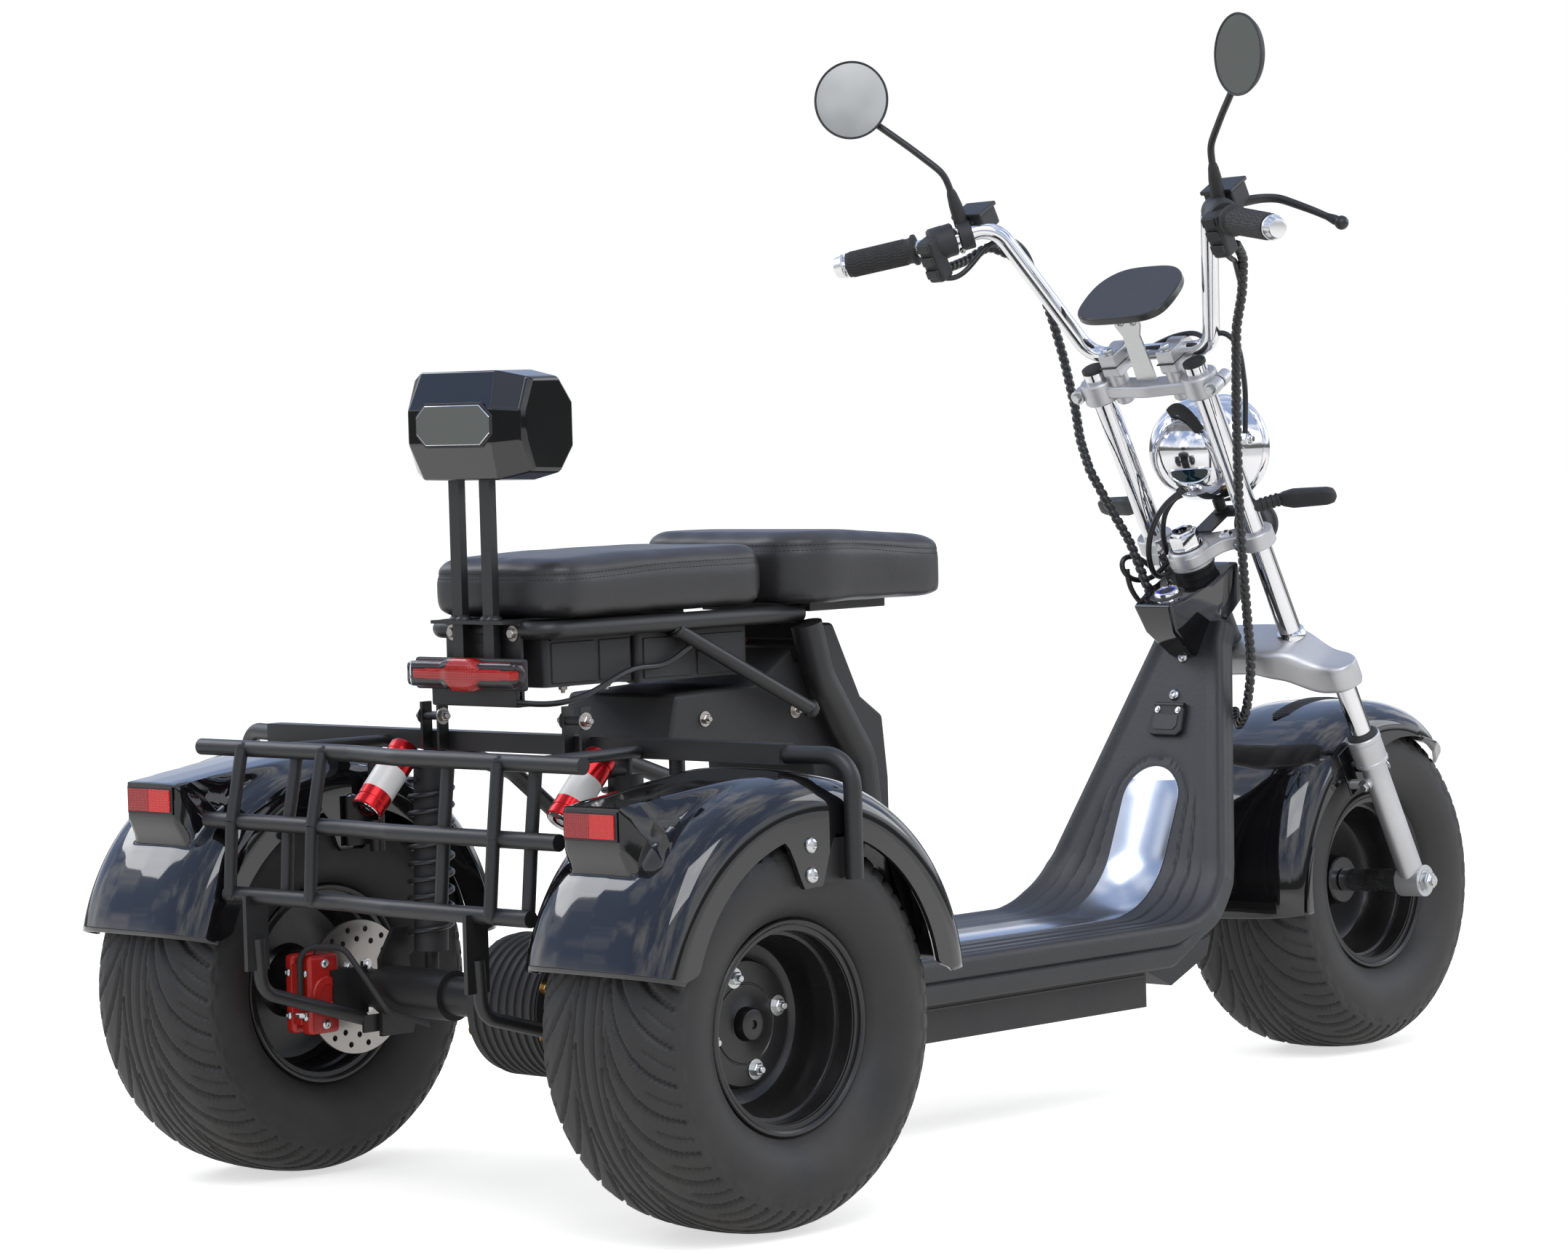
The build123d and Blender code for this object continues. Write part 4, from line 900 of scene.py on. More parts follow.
# Tread plate: bright brushed aluminium sheet set into the face, its upper end a half circle
plate_run = np.concatenate([np.linspace(32, PLATE_END - PLATE_HALF, 110, endpoint=False),
                            PLATE_END - PLATE_HALF * (1 - np.sin(np.linspace(0, math.pi / 2, 26)))])[:, None]
plate_half = np.sqrt(np.maximum(PLATE_HALF ** 2 - np.maximum(plate_run - PLATE_END + PLATE_HALF, 0) ** 2, 0.01))
plate_y = np.concatenate([plate_half, plate_half, plate_half - 0.9 * plate_half / PLATE_HALF, 0 * plate_half, -plate_half + 0.9 * plate_half / PLATE_HALF, -plate_half, -plate_half], 1)
plate_d = np.array([[-0.1, 1.0, 1.5, 1.5, 1.5, 1.0, -0.1]])
points, quads = capped_sweep(site(board_points(plate_run, plate_y, plate_d)))
mesh_piece("tread_plate", points, quads, bright_plate, "chassis", "strip", sharp=40, hides=["floor_strip"])
shield_screws = [(site(board_points(np.array(run), np.array(0.0), np.array(0.0))), (-math.cos(SHIELD_LEAN), 0, math.sin(SHIELD_LEAN)), 0.0078)
                 for run in (BOARD_RUN - 50, BOARD_RUN - 102)]
stamped("shield_screws", dome_bolt, shield_screws, zinc, "chassis", "steel")
# Lower yoke: one silver-painted casting, a smooth arched bridge with rounded ends over the short
# legs. Chrome tubes come out of it with a thin seal, and a black steering stem stands in it.
fork_ahead, fork_left, fork_axis = fork_frame[:, 0], fork_frame[:, 1], fork_frame[:, 2]


def yoke_grid(along, around=56):
    """Sections of a rounded oblong, (|cos|^0.4, |sin|^0.4) with signs, whose middle, depth and
    height follow the bridge; over the last 26 mm they shrink as a circle does."""
    v = np.concatenate([-169 + 26 * (1 - np.cos(np.linspace(0, math.pi / 2, 14, endpoint=False))), np.linspace(-143, 143, along, endpoint=False),
                        143 + 26 * np.sin(np.linspace(0, math.pi / 2, 14))])
    a = np.abs(v)
    middle = np.interp(a, [0, 70, 100, 125, 143], [26, 26, 28, 31, 33])
    depth = np.interp(a, [0, 70, 100, 125, 143], [43, 42, 34, 28, 26]) * np.sqrt(np.clip(1 - (np.clip(a - 143, 0, None) / 26) ** 2, 0.001, 1))
    high = np.interp(a, [0, 40, 90, 108, 124, 150, 169], [384, 384, 378, 366, 350, 342, 338])
    low = np.interp(a, [0, 40, 84, 104, 122, 150, 169], [346, 346, 332, 316, 304, 302, 306])
    blur = np.ones(9) / 9
    middle, depth_smooth, high, low = (np.convolve(np.pad(row, 4, mode="edge"), blur, "valid") for row in (middle, depth, high, low))
    depth = np.where(a < 135, depth_smooth, depth)
    t = np.linspace(0, 2 * math.pi, around, endpoint=False)[None, :]
    c, s = np.sign(np.cos(t)) * np.abs(np.cos(t)) ** 0.4, np.sign(np.sin(t)) * np.abs(np.sin(t)) ** 0.4
    w = (high + low)[:, None] / 2 + (high - low)[:, None] / 2 * s
    return np.stack(np.broadcast_arrays(middle[:, None] + depth[:, None] * c, v[:, None], w), -1)


points, quads = capped_sweep(fork_site(yoke_grid(110)))
mesh_piece("lower_yoke_casting", points, quads, cast_silver, "steering", "cast", sharp=60, hides=["lower_yoke"])


def fork_turned(name, profile, spots, direction, material, slot_name, around=48, sharp=32.0, hides=()):
    """Turned shapes from a (radius, height) profile in millimetres, at places in the fork's frame."""
    aim = fork_frame @ np.asarray(direction, float)
    return stamped(name, turned_shape(profile, around), [(fork_site(spot), aim, 0.001) for spot in spots], material, "steering", slot_name, sharp=sharp, hides=hides)


both_legs = [(41, 81, 0), (41, -81, 0)]
short_legs = [(33, 143, 0), (33, -143, 0)]
fork_turned("leg_seals", [(15, 374), (19.5, 374), (19.5, 381), (18, 383.5), (15, 383.5)], both_legs, (0, 0, 1), chrome, "chrome")
fork_turned("slider_seals", [(14, 224), (20.5, 224), (20.5, 229), (17, 232), (14.2, 232)], short_legs, (0, 0, 1), dark_rubber, "rubber")
fork_turned("slider_collars", [(17, 184), (22.6, 186), (22.8, 190), (22.0, 191), (22.0, 219), (22.8, 220), (22.8, 225), (21.5, 226.6), (17, 226.6)], short_legs, (0, 0, 1), cast_silver, "cast")
fork_turned("steering_stem", [(0, 378), (16.5, 378), (16.5, 390), (26.6, 391), (26.6, 394), (0, 394)], [(0, 0, 0)], (0, 0, 1), satin_black, "frame")
fork_turned("head_races", [(15, 507), (27.5, 507), (28.5, 509), (28.5, 512.5), (15, 512.5)], [(0, 0, 0)], (0, 0, 1), satin_black, "frame")
fork_turned("stem_tube", [(0, 380), (15, 380), (15, 549), (0, 549)], [(0, 0, 0)], (0, 0, 1), ground_steel, "steel")


def cut_plate(name, outline, low, high, bevel, material, body, slot_name, place, smooth=0, hides=(), segments=3):
    """A plate from a closed outline of (a, b) and two levels c, with bevelled rims. The outline
    is spaced evenly and each point averaged with its neighbours where it should be round."""
    outline = np.asarray(outline, float)
    if smooth:
        ring = np.concatenate([outline, outline[:1]])
        outline = rounded_line(ring, 97, 0)[:-1]
        for _ in range(smooth):
            outline = (np.roll(outline, 1, 0) + 2 * outline + np.roll(outline, -1, 0)) / 4
    count = len(outline)
    levels = [np.concatenate([outline, np.full((count, 1), level)], 1) for level in (low, high)]
    ring = np.arange(count)
    sides = np.stack([ring, (ring + 1) % count, (ring + 1) % count + count, ring + count], 1).tolist()
    piece = mesh_piece(name, place(np.concatenate(levels)), [ring[::-1].tolist(), (ring + count).tolist()] + sides, material, body, slot_name, sharp=None, hides=hides)
    edge = piece.modifiers.new("edge", "BEVEL")
    edge.width, edge.segments, edge.harden_normals = bevel / 1000, segments, True
    edge.limit_method, edge.angle_limit = "ANGLE", math.radians(40)
    return piece


# Mid yoke: a cast plate with a round boss on the stem and an arm to a collar on each leg. The
# chrome hex nut holds it, and hex bolts sit on each arm.
mid_arm = [(-28, 0), (-26, 17), (-14, 26), (4, 30), (22, 40), (30, 62), (40, 74), (58, 70), (60, 50), (52, 34), (46, 0)]
mid_outline = mid_arm + [(u, -v) for u, v in mid_arm[-2:0:-1]]
cut_plate("mid_yoke_plate", mid_outline, 515, 532, 2.5, cast_silver, "steering", "cast", fork_site, smooth=3, hides=["mid_yoke"])
fork_turned("mid_yoke_collars", [(15, 513), (22.5, 513), (24, 514.5), (24, 533.5), (22.5, 535), (15.2, 535)], both_legs, (0, 0, 1), cast_silver, "cast")
fork_turned("mid_yoke_boss", [(10, 507.5), (26, 507.5), (28, 510), (28, 531), (26.5, 536), (24, 538), (24, 535.5), (10, 535.5)], [(0, 0, 0)], (0, 0, 1), cast_silver, "cast")
fork_turned("stem_washer", [(10, 537), (21, 537), (21, 540), (10, 540)], [(0, 0, 0)], (0, 0, 1), chrome, "chrome")
fork_turned("stem_hex_nut", [(0, 539.5), (20, 539.5), (20.6, 541), (20.6, 556), (18.8, 558.6), (16, 559.6), (15, 562), (9, 562), (8.4, 553), (0, 553)], [(0, 0, 0)], (0, 0, 1), chrome, "chrome", around=6, hides=["stem_nut"])
arm_bolts = [(fork_site((36, side * 38, 532)), fork_axis, 0.0062) for side in (1, -1)]
arm_bolts += [(fork_site((20, side * 66, 524)), -fork_ahead, 0.0062) for side in (1, -1)]
stamped("mid_yoke_bolts", hex_bolt, arm_bolts, chrome, "steering", "steel")

# Top yoke: a cast bridge with a split collar and clamp bolt at each leg, and a riser each side
# with a bolted cap that holds the handlebar. Rubber caps close the tubes.
top_arm = [(22, 0), (25, 30), (27, 60), (28, 84), (56, 84), (60, 60), (58, 34), (53, 0)]
top_outline = top_arm + [(u, -v) for u, v in top_arm[-2:0:-1]]
cut_plate("top_yoke_bridge", top_outline, 744, 761, 4.5, cast_silver, "steering", "cast", fork_site, smooth=4, hides=["top_yoke"])
fork_turned("top_yoke_collars", [(15, 738), (22.4, 738), (24, 740), (24, 765), (22.4, 767.5), (15.2, 767.5)], both_legs, (0, 0, 1), cast_silver, "cast")
fork_turned("clamp_lugs_rear", [(0, 0), (8.5, 0), (9.5, 1.2), (9.5, 19), (8.8, 20), (0, 20)], [(42.2, side * 107, 752) for side in (1, -1)], (-1, 0, 0), cast_silver, "cast", around=28)
fork_turned("clamp_lugs_front", [(0, 0), (8.5, 0), (9.5, 1.2), (9.5, 17), (8.8, 18), (0, 18)], [(44.6, side * 107, 752) for side in (1, -1)], (1, 0, 0), cast_silver, "cast", around=28)
for name, side in (("left", 1), ("right", -1)):
    soft_box("clamp_web_" + name, (30, min(side * 90, side * 104), 744), (55, max(side * 90, side * 104), 760), 2.5, cast_silver, "steering", "cast", place=fork_site)
fork_turned("fork_top_caps", [(0, 779), (14.6, 779), (15.4, 781), (15.2, 785), (13.5, 786), (0, 786)], both_legs, (0, 0, 1), dark_rubber, "rubber", hides=["fork_caps"])
fork_turned("riser_posts", [(0, 733), (9, 733), (12, 736), (12.5, 745), (12.5, 789), (0, 789)], [(42, 46, 0), (42, -46, 0)], (0, 0, 1), cast_silver, "cast", around=36)
clamp_turn = np.radians(np.linspace(-120, 120, 25))
clamp_outline = [(66 + 18 * math.cos(t), 790 + 18 * math.sin(t)) for t in clamp_turn] + [(48, 806), (32, 806), (29.6, 803), (29.6, 776), (33, 772)]


def across_fork(points):
    """Fork metres from (u, w, v) millimetres, for plates that stand square to the bar."""
    return fork_site(np.asarray(points, float)[:, [0, 2, 1]])


for name, side in (("left", 1), ("right", -1)):
    cut_plate("riser_clamp_" + name, clamp_outline, side * 46 - 12.5, side * 46 + 12.5, 2.0, cast_silver, "steering", "cast", across_fork)
    cut_plate("riser_gap_" + name, [(26, 788.2), (86, 788.2), (86, 789.6), (26, 789.6)], side * 46 - 12.8, side * 46 + 12.8, 0.2, satin_black, "steering", "frame", across_fork)
stamped("riser_bolts", hex_bolt, [(fork_site((u, side * 46, w)), fork_axis, 0.0068) for side in (1, -1) for u, w in ((40, 806),)], zinc, "steering", "steel")
stamped("clamp_bolts", hex_bolt, [(fork_site((22.4, side * 107, 752)), -fork_ahead, 0.0066) for side in (1, -1)], zinc, "steering", "steel")

# Slider lugs: bolts that hold the front fender, and the wheel's axle nuts
lug_bolts = [(fork_site((33 + u, side * 139, 164)), np.sign(u) * fork_ahead, 0.0062) for side in (1, -1) for u in (-26.2, 26.2)]
stamped("fender_lug_bolts", hex_bolt, lug_bolts, zinc, "steering", "steel")
fork_turned("axle_nuts_left", [(0, 0), (15, 0), (15, 2), (11.6, 2.2), (11.6, 9), (10.6, 10.4), (7.6, 10.4), (7.4, 14), (6.6, 14.6), (0, 14.6)], [(33, 161.5, 0)], (0, 1, 0), zinc, "steel", around=6)
fork_turned("axle_nuts_right", [(0, 0), (15, 0), (15, 2), (11.6, 2.2), (11.6, 9), (10.6, 10.4), (7.6, 10.4), (7.4, 14), (6.6, 14.6), (0, 14.6)], [(33, -161.5, 0)], (0, -1, 0), zinc, "steel", around=6)

# Headlamp: a chrome bowl with a bead at the rim and a clear glass. A dark window with a silver
# lip sits low in its back, a screw on each side holds it.
LAMP_PLACE = fork_site((95, 0, 630))
lamp_ahead = np.array([math.cos(REST_STEER), math.sin(REST_STEER), 0])
LAMP_R = 68.0
bowl_turn = np.linspace(0, math.pi / 2, 26)
bowl = [(LAMP_R * math.sin(t), -LAMP_R * math.cos(t)) for t in bowl_turn] + [(67.6, 30), (67.0, 46), (69.6, 47.5), (71.0, 51), (70.6, 55.5), (68.0, 58.5), (64.5, 59.4), (62.0, 57.0), (0, 57.0)]
stamped("headlamp_bowl", turned_shape(bowl, 120), [(LAMP_PLACE, lamp_ahead, 0.001)], chrome, "steering", "chrome", sharp=40, hides=["headlamp"])
lens_glass = bpy.data.materials.new("lens_glass")
lens_glass.use_nodes = True
glass_shader = lens_glass.node_tree.nodes["Principled BSDF"]
glass_shader.inputs["Base Color"].default_value = (0.9, 0.93, 0.95, 1)
glass_shader.inputs["Transmission Weight"].default_value = 1.0
glass_shader.inputs["IOR"].default_value = 1.47
glass_ripple = glass_shader.id_data.nodes.new("ShaderNodeTexWave")
glass_ripple.inputs["Scale"].default_value = 60
link(lens_glass.node_tree, lens_glass.node_tree.nodes.new("ShaderNodeTexCoord").outputs["Object"], glass_ripple.inputs["Vector"])
link(lens_glass.node_tree, math_node(lens_glass.node_tree, "MULTIPLY", glass_ripple.outputs["Fac"], 0.06), glass_shader.inputs["Roughness"])
stamped("headlamp_glass", turned_shape([(0, 57.4), (62, 57.4), (62, 58.6), (50, 61.0), (30, 63.0), (0, 63.8)], 72), [(LAMP_PLACE, lamp_ahead, 0.001)], lens_glass, "steering", "chrome", sharp=40)
lamp_right, lamp_up = np.array([lamp_ahead[1], -lamp_ahead[0], 0]), np.array([0, 0, 1.0])


def on_bowl(x, y, rise, turn_right, turn_down):
    """Metres on the bowl's sphere: x and y in millimetres round a spot on its back, turned right
    and down by two angles, at a height over the chrome."""
    back = -lamp_ahead * math.cos(turn_down) * math.cos(turn_right) + lamp_right * math.sin(turn_right) * math.cos(turn_down) - lamp_up * math.sin(turn_down)
    across = np.cross(back, lamp_up)
    across /= np.linalg.norm(across)
    rising = np.cross(across, back)
    x, y = np.asarray(x, float), np.asarray(y, float)
    ray = back + across * (x / LAMP_R)[..., None] + rising * (y / LAMP_R)[..., None]
    ray /= np.linalg.norm(ray, axis=-1, keepdims=True)
    return LAMP_PLACE + ray * ((LAMP_R + np.asarray(rise)) / 1000)[..., None]


window_t = np.linspace(0, 2 * math.pi, 72, endpoint=False)[:, None]
window_x = 29 * np.sign(np.cos(window_t)) * np.abs(np.cos(window_t)) ** 0.7
window_y = 10 * np.sin(window_t) + 2.5 * np.cos(window_t) ** 2 - 0.06 * window_x
in_scale, in_rise = np.array([[0.02, 0.5, 0.93]]), np.array([[0.5, 0.5, 0.4]])
points = on_bowl(window_x * in_scale, window_y * in_scale, np.broadcast_to(in_rise, (72, 3)), 0.33, 0.52)
window_glass = finish("window_glass", (0.004, 0.03, 0.045), 0.05, grain=400, bump=0.02, dust=0.02, second=(0.003, 0.004, 0.005), blotch=30)
mesh_piece("headlamp_window", points, grid_quads(72, 3, wrap_rows=True), window_glass, "steering", "mirror", merge=False)
lip_scale, lip_rise = np.array([[0.92, 0.95, 1.02, 1.1, 1.14]]), np.array([[0.2, 1.8, 2.4, 1.6, -0.4]])
points = on_bowl(window_x * lip_scale, window_y * lip_scale, np.broadcast_to(lip_rise, (72, 5)), 0.33, 0.52)
mesh_piece("headlamp_window_lip", points, grid_quads(72, 5, wrap_rows=True), silvered, "steering", "chrome", sharp=60, merge=False)
lamp_screws = [(LAMP_PLACE + side * lamp_right * 0.0672 + lamp_ahead * 0.004 + lamp_up * 0.012, side * lamp_right, 0.0085) for side in (1, -1)]
stamped("headlamp_screws", stud_nut, lamp_screws, chrome, "steering", "steel")
strap_t = np.linspace(0, 1, 50)
strap_x, strap_y = -46 + 62 * strap_t, 30 + 34 * np.sin(strap_t * math.pi * 0.62)


def swept(path, half_wide, half_thick, around=14, helper=(0.31, 0.87, 0.39), power=1.0):
    """Closed sections carried along a path in metres. Each is square to the path's direction,
    its wide side along the cross product with a helper vector."""
    path = np.asarray(path, float)
    ahead = np.gradient(path, axis=0)
    ahead /= np.linalg.norm(ahead, axis=1, keepdims=True)
    first = np.cross(ahead, helper)
    first /= np.linalg.norm(first, axis=1, keepdims=True)
    second = np.cross(ahead, first)
    t = np.linspace(0, 2 * math.pi, around, endpoint=False)
    c, s = np.sign(np.cos(t)) * np.abs(np.cos(t)) ** power, np.sign(np.sin(t)) * np.abs(np.sin(t)) ** power
    wide = np.broadcast_to(np.asarray(half_wide, float).reshape(-1, 1) if np.ndim(half_wide) < 2 else half_wide, (len(path), around))
    thick = np.broadcast_to(np.asarray(half_thick, float).reshape(-1, 1) if np.ndim(half_thick) < 2 else half_thick, (len(path), around))
    grid = path[:, None] + first[:, None] * (wide * c)[..., None] + second[:, None] * (thick * s)[..., None]
    return capped_sweep(grid)


strap_path = on_bowl(strap_x, strap_y, np.full(50, 3.0) + 9 * np.sin(strap_t * math.pi), 0.0, 0.0)
points, quads = swept(strap_path, 0.008, 0.0016, helper=tuple(-lamp_ahead), power=0.5)
mesh_piece("headlamp_strap", points, quads, dark_rubber, "steering", "rubber")

# A folded bracket carries the lamp's post and the horn
cut_plate("lamp_bracket_plate", [(38, -15), (80, -15), (80, -54), (108, -54), (108, 15), (38, 15)], 535.3, 538.5, 0.8, satin_black, "steering", "frame", fork_site, hides=["lamp_bracket"])
fork_turned("lamp_post", [(0, 538), (11, 538), (11, 541), (8, 542), (8, 562), (0, 562)], [(92, 0, 0)], (0, 0, 1), satin_black, "frame", around=28)

# Horn: a black disc horn with a pressed cover and a brass bolt in its middle
horn_aim = (28 / 31.3, 0, -14 / 31.3)
fork_turned("horn_body", [(0, -2), (14, -2), (16, 0), (24, 1), (26.4, 3), (26.4, 12), (24, 15), (24, 22), (26.6, 24), (26.6, 29), (24, 31.5), (10, 32.5), (9, 29), (0, 29)], [(84, -42, 521)], horn_aim, mould_black, "frame", hides=["horn"])
brass = finish("brass", (0.62, 0.40, 0.16), 0.3, metallic=1.0, grain=900, bump=0.1, dust=0.04)
stamped("horn_bolt", stud_nut, [(fork_site((82.4, -42, 521.8)), fork_frame @ -np.array(horn_aim), 0.0065)], brass, "steering", "steel")
# Indicators: ribbed rubber stems that carry slim black pods with an amber lens facing forward
amber_lens = finish("amber_lens", (0.75, 0.20, 0.02), 0.15, grain=500, bump=0.05, dust=0.02)
for name, side in (("left", 1), ("right", -1)):
    t = np.linspace(0, 1, 90)[:, None]
    stem_path = fork_site(np.array([41, side * 88, 568]) + (np.array([72, side * 116, 563]) - np.array([41, side * 88, 568])) * t)
    points, quads = swept(stem_path, 0.0078 + 0.0013 * (np.sin(t * 2 * math.pi * 6) > 0) * (t > 0.3), 0.0078 + 0.0013 * (np.sin(t * 2 * math.pi * 6) > 0) * (t > 0.3), around=20)
    mesh_piece("indicator_stem_" + name, points, quads, dark_rubber, "steering", "rubber", hides=["indicators"] if side > 0 else [])
    t = np.linspace(0, 1, 24)[:, None]
    pod_path = fork_site(np.array([70, side * 114, 563.5]) + (np.array([88, side * 190, 556]) - np.array([70, side * 114, 563.5])) * t)
    shape = np.interp(t[:, 0], [0, 0.06, 0.25, 0.85, 0.97, 1], [0.5, 0.75, 1, 0.92, 0.7, 0.3])[:, None]
    points, quads = swept(pod_path, 0.0085 * shape, 0.0125 * shape, around=24, helper=tuple(fork_axis), power=0.55)
    mesh_piece("indicator_pod_" + name, points, quads, mould_black, "steering", "frame", sharp=45)
    lens_path = fork_site(np.array([81.6, side * 124, 562.3]) + (np.array([95.0, side * 184, 556.4]) - np.array([81.6, side * 124, 562.3])) * t)
    points, quads = swept(lens_path, 0.0030, 0.0095 * shape, around=20, helper=tuple(fork_axis), power=0.55)
    mesh_piece("indicator_lens_" + name, points, quads, amber_lens, "steering", "amber", sharp=45)

# Grips: black rubber with a flange and long wavy grooves, closed by turned aluminium weights
BAR_TIP_IN, BAR_TIP_OUT = np.array([0.0, 240, 996]), np.array([-50.0, 340, 1002])
grip_run = BAR_TIP_OUT - BAR_TIP_IN
grip_along = np.linspace(0, 1, 110)
grip_turn = np.linspace(0, 2 * math.pi, 84, endpoint=False)[None, :]
grip_r = np.interp(grip_along, [0, 0.005, 0.05, 0.06, 0.10, 0.985, 1], [11.2, 20.4, 20.4, 17.6, 16.6, 16.2, 11.2])[:, None]
waves = np.sin(26 * grip_turn + 1.6 * np.sin(grip_along[:, None] * 2 * math.pi * 4.5 + 3 * np.sin(grip_turn)))
pattern = 0.9 * smooth_step(waves, -0.2, 0.5) * (smooth_step(grip_along, 0.14, 0.16) * (1 - smooth_step(grip_along, 0.93, 0.95)))[:, None]
soft_metal = finish("soft_metal", (0.62, 0.62, 0.62), 0.25, metallic=1.0, grain=500, bump=0.05, dust=0.02)
for name, side in (("left", 1), ("right", -1)):
    mirror_v = np.array([1, side, 1])
    start, end = (BAR_TIP_IN + grip_run * 0.12) * mirror_v, (BAR_TIP_OUT - grip_run * 0.02) * mirror_v
    path = fork_site(start + (end - start) * grip_along[:, None])
    points, quads = swept(path, (grip_r + pattern) / 1000, (grip_r + pattern) / 1000, around=84)
    mesh_piece("grip_" + name, points, quads, dark_rubber, "steering", "rubber", sharp=50, hides=["grips"] if side > 0 else [])
    aim = fork_frame @ (grip_run * mirror_v)
    stamped("bar_weight_" + name, turned_shape([(0, 0), (15.4, 0), (16, 0.8), (16, 2.5), (14.6, 4), (13.2, 11), (11.6, 13.4), (9.5, 14.2), (0, 14.2)], 40),
            [(fork_site(BAR_TIP_OUT * mirror_v), aim, 0.001)], soft_metal, "steering", "chrome", hides=["bar_ends"] if side > 0 else [])

# Switch pods: two black moulded halves on the bar with rocker buttons towards the rider
pod_aim = np.array([-25.0, 25, 3]) / np.linalg.norm([25, 25, 3])
for name, side in (("left", 1), ("right", -1)):
    mirror_v = np.array([1, side, 1])
    hides = ["switch_pods"] if side > 0 else []
    stamped("pod_collar_" + name, turned_shape([(11.2, 0), (19, 0), (21.5, 2), (21.5, 13), (22, 14), (22, 31), (20, 34), (11.2, 34)], 40),
            [(fork_site(np.array([26, 212, 993]) * mirror_v), fork_frame @ (pod_aim * mirror_v), 0.001)], mould_black, "steering", "frame", hides=hides)
    soft_box("pod_body_" + name, (-21, min(side * 215, side * 240), 952), (5, max(side * 215, side * 240), 1011), 5.0, mould_black, "steering", "frame", place=fork_site)
    for label, low, high in (("top", 997, 1009), ("middle", 978, 991), ("low", 960, 972)):
        soft_box("pod_button_" + label + "_" + name, (-25.0, min(side * 218, side * 237), low), (-20, max(side * 218, side * 237), high), 1.6, satin_black, "steering", "frame", place=fork_site)
    # Brake master cylinder: clamp with two bolts, reservoir with a lid and a round sight glass
    stamped("master_clamp_" + name, turned_shape([(11.2, 0), (17, 0), (19, 1.6), (19, 17), (17, 18.6), (11.2, 18.6)], 40),
            [(fork_site(np.array([42, 194, 991]) * mirror_v), fork_frame @ (np.array([-12, 14, 1.5]) * mirror_v), 0.001)], mould_black, "steering", "frame",
            hides=["brake_masters"] if side > 0 else [])
    soft_box("master_tank_" + name, (48, min(side * 178, side * 222), 985), (84, max(side * 178, side * 222), 1011), 3.5, mould_black, "steering", "frame", place=fork_site)
    soft_box("master_lid_" + name, (46, min(side * 176, side * 224), 1010), (86, max(side * 176, side * 224), 1015.6), 1.6, satin_black, "steering", "frame", place=fork_site)
    soft_box("master_arm_" + name, (34, min(side * 190, side * 214), 981), (60, max(side * 190, side * 214), 998), 4.0, mould_black, "steering", "frame", place=fork_site)
    stamped("master_glass_" + name, turned_shape([(0, 0), (6.8, 0), (6.8, 1.0), (5.6, 1.5), (5.2, 0.8), (0, 0.8)], 28), [(fork_site(np.array([48.2, side * 198, 999])), -fork_ahead, 0.001)], soft_metal, "steering", "steel")
    stamped("master_bolts_" + name, dome_bolt, [(fork_site(np.array([22, side * 203, 991 + up])), -fork_ahead, 0.0046) for up in (-14, 14)], zinc, "steering", "steel")
    lever_line = rounded_line(np.array([(74, 210, 985), (96, 226, 978), (105, 246, 972), (106, 290, 950), (106, 325, 930)]) * mirror_v, 60, 20)
    lever_half = np.interp(np.linspace(0, 1, 60), [0, 0.2, 0.85, 0.93, 1], [7, 6, 4.6, 6.5, 6.5])[:, None] / 1000
    points, quads = swept(fork_site(lever_line), lever_half, lever_half * 0.75, around=18)
    mesh_piece("brake_lever_" + name, points, quads, satin_black, "steering", "frame")
    stamped("lever_ball_" + name, turned_shape([(0, -9)] + [(9 * math.cos(a), 9 * math.sin(a)) for a in np.linspace(-1.3, 1.3, 14)] + [(0, 9)], 24),
            [(fork_site(np.array([106, side * 325, 930])), fork_axis, 0.001)], satin_black, "steering", "frame")
    # Mirrors: a bent rod in a rubber boot, and a round black shell with a rolled rim
    stem_line = rounded_line(np.array([(39, 205, 1000), (46, 208, 1040), (51, 212, 1074), (48, 250, 1118), (45, 285, 1155)]) * mirror_v, 70, 24)
    points, quads = swept(fork_site(stem_line), 0.0045, 0.0045, around=16)
    mesh_piece("mirror_stem_" + name, points, quads, satin_black, "steering", "frame", hides=["mirror_arms"] if side > 0 else [])
    boot = np.linspace(0, 1, 30)[:, None]
    boot_line = fork_site((np.array([40, 205, 1002]) + (np.array([48, 209.5, 1052]) - np.array([40, 205, 1002])) * boot) * mirror_v)
    boot_half = np.interp(boot[:, 0], [0, 0.05, 0.6, 0.9, 1], [7.5, 9.6, 8.6, 6.6, 5.0])[:, None] / 1000
    points, quads = swept(boot_line, boot_half, boot_half, around=20)
    mesh_piece("mirror_boot_" + name, points, quads, dark_rubber, "steering", "rubber")
    mirror_aim = np.array([-0.83, -0.35 * side, 0.43])
    shell = [(0, -15.5), (20, -14.8), (36, -11.6), (46, -6), (50.4, 0), (51, 3.2), (50.2, 4.0), (48.6, 3.6), (48.2, 1.6), (0, 1.4)]
    stamped("mirror_shell_" + name, turned_shape(shell, 90), [(fork_site(np.array([42, side * 309, 1195])), fork_frame @ mirror_aim, 0.001)], mould_black, "steering", "frame", sharp=50)

# Phone pad: a glossy black plate with a thick rounded rim on a folded zinc bracket
pad_outline = [(-50, -72), (20, -72), (50, -44), (50, 44), (20, 72), (-50, 72), (-62, 50), (-62, -50)]


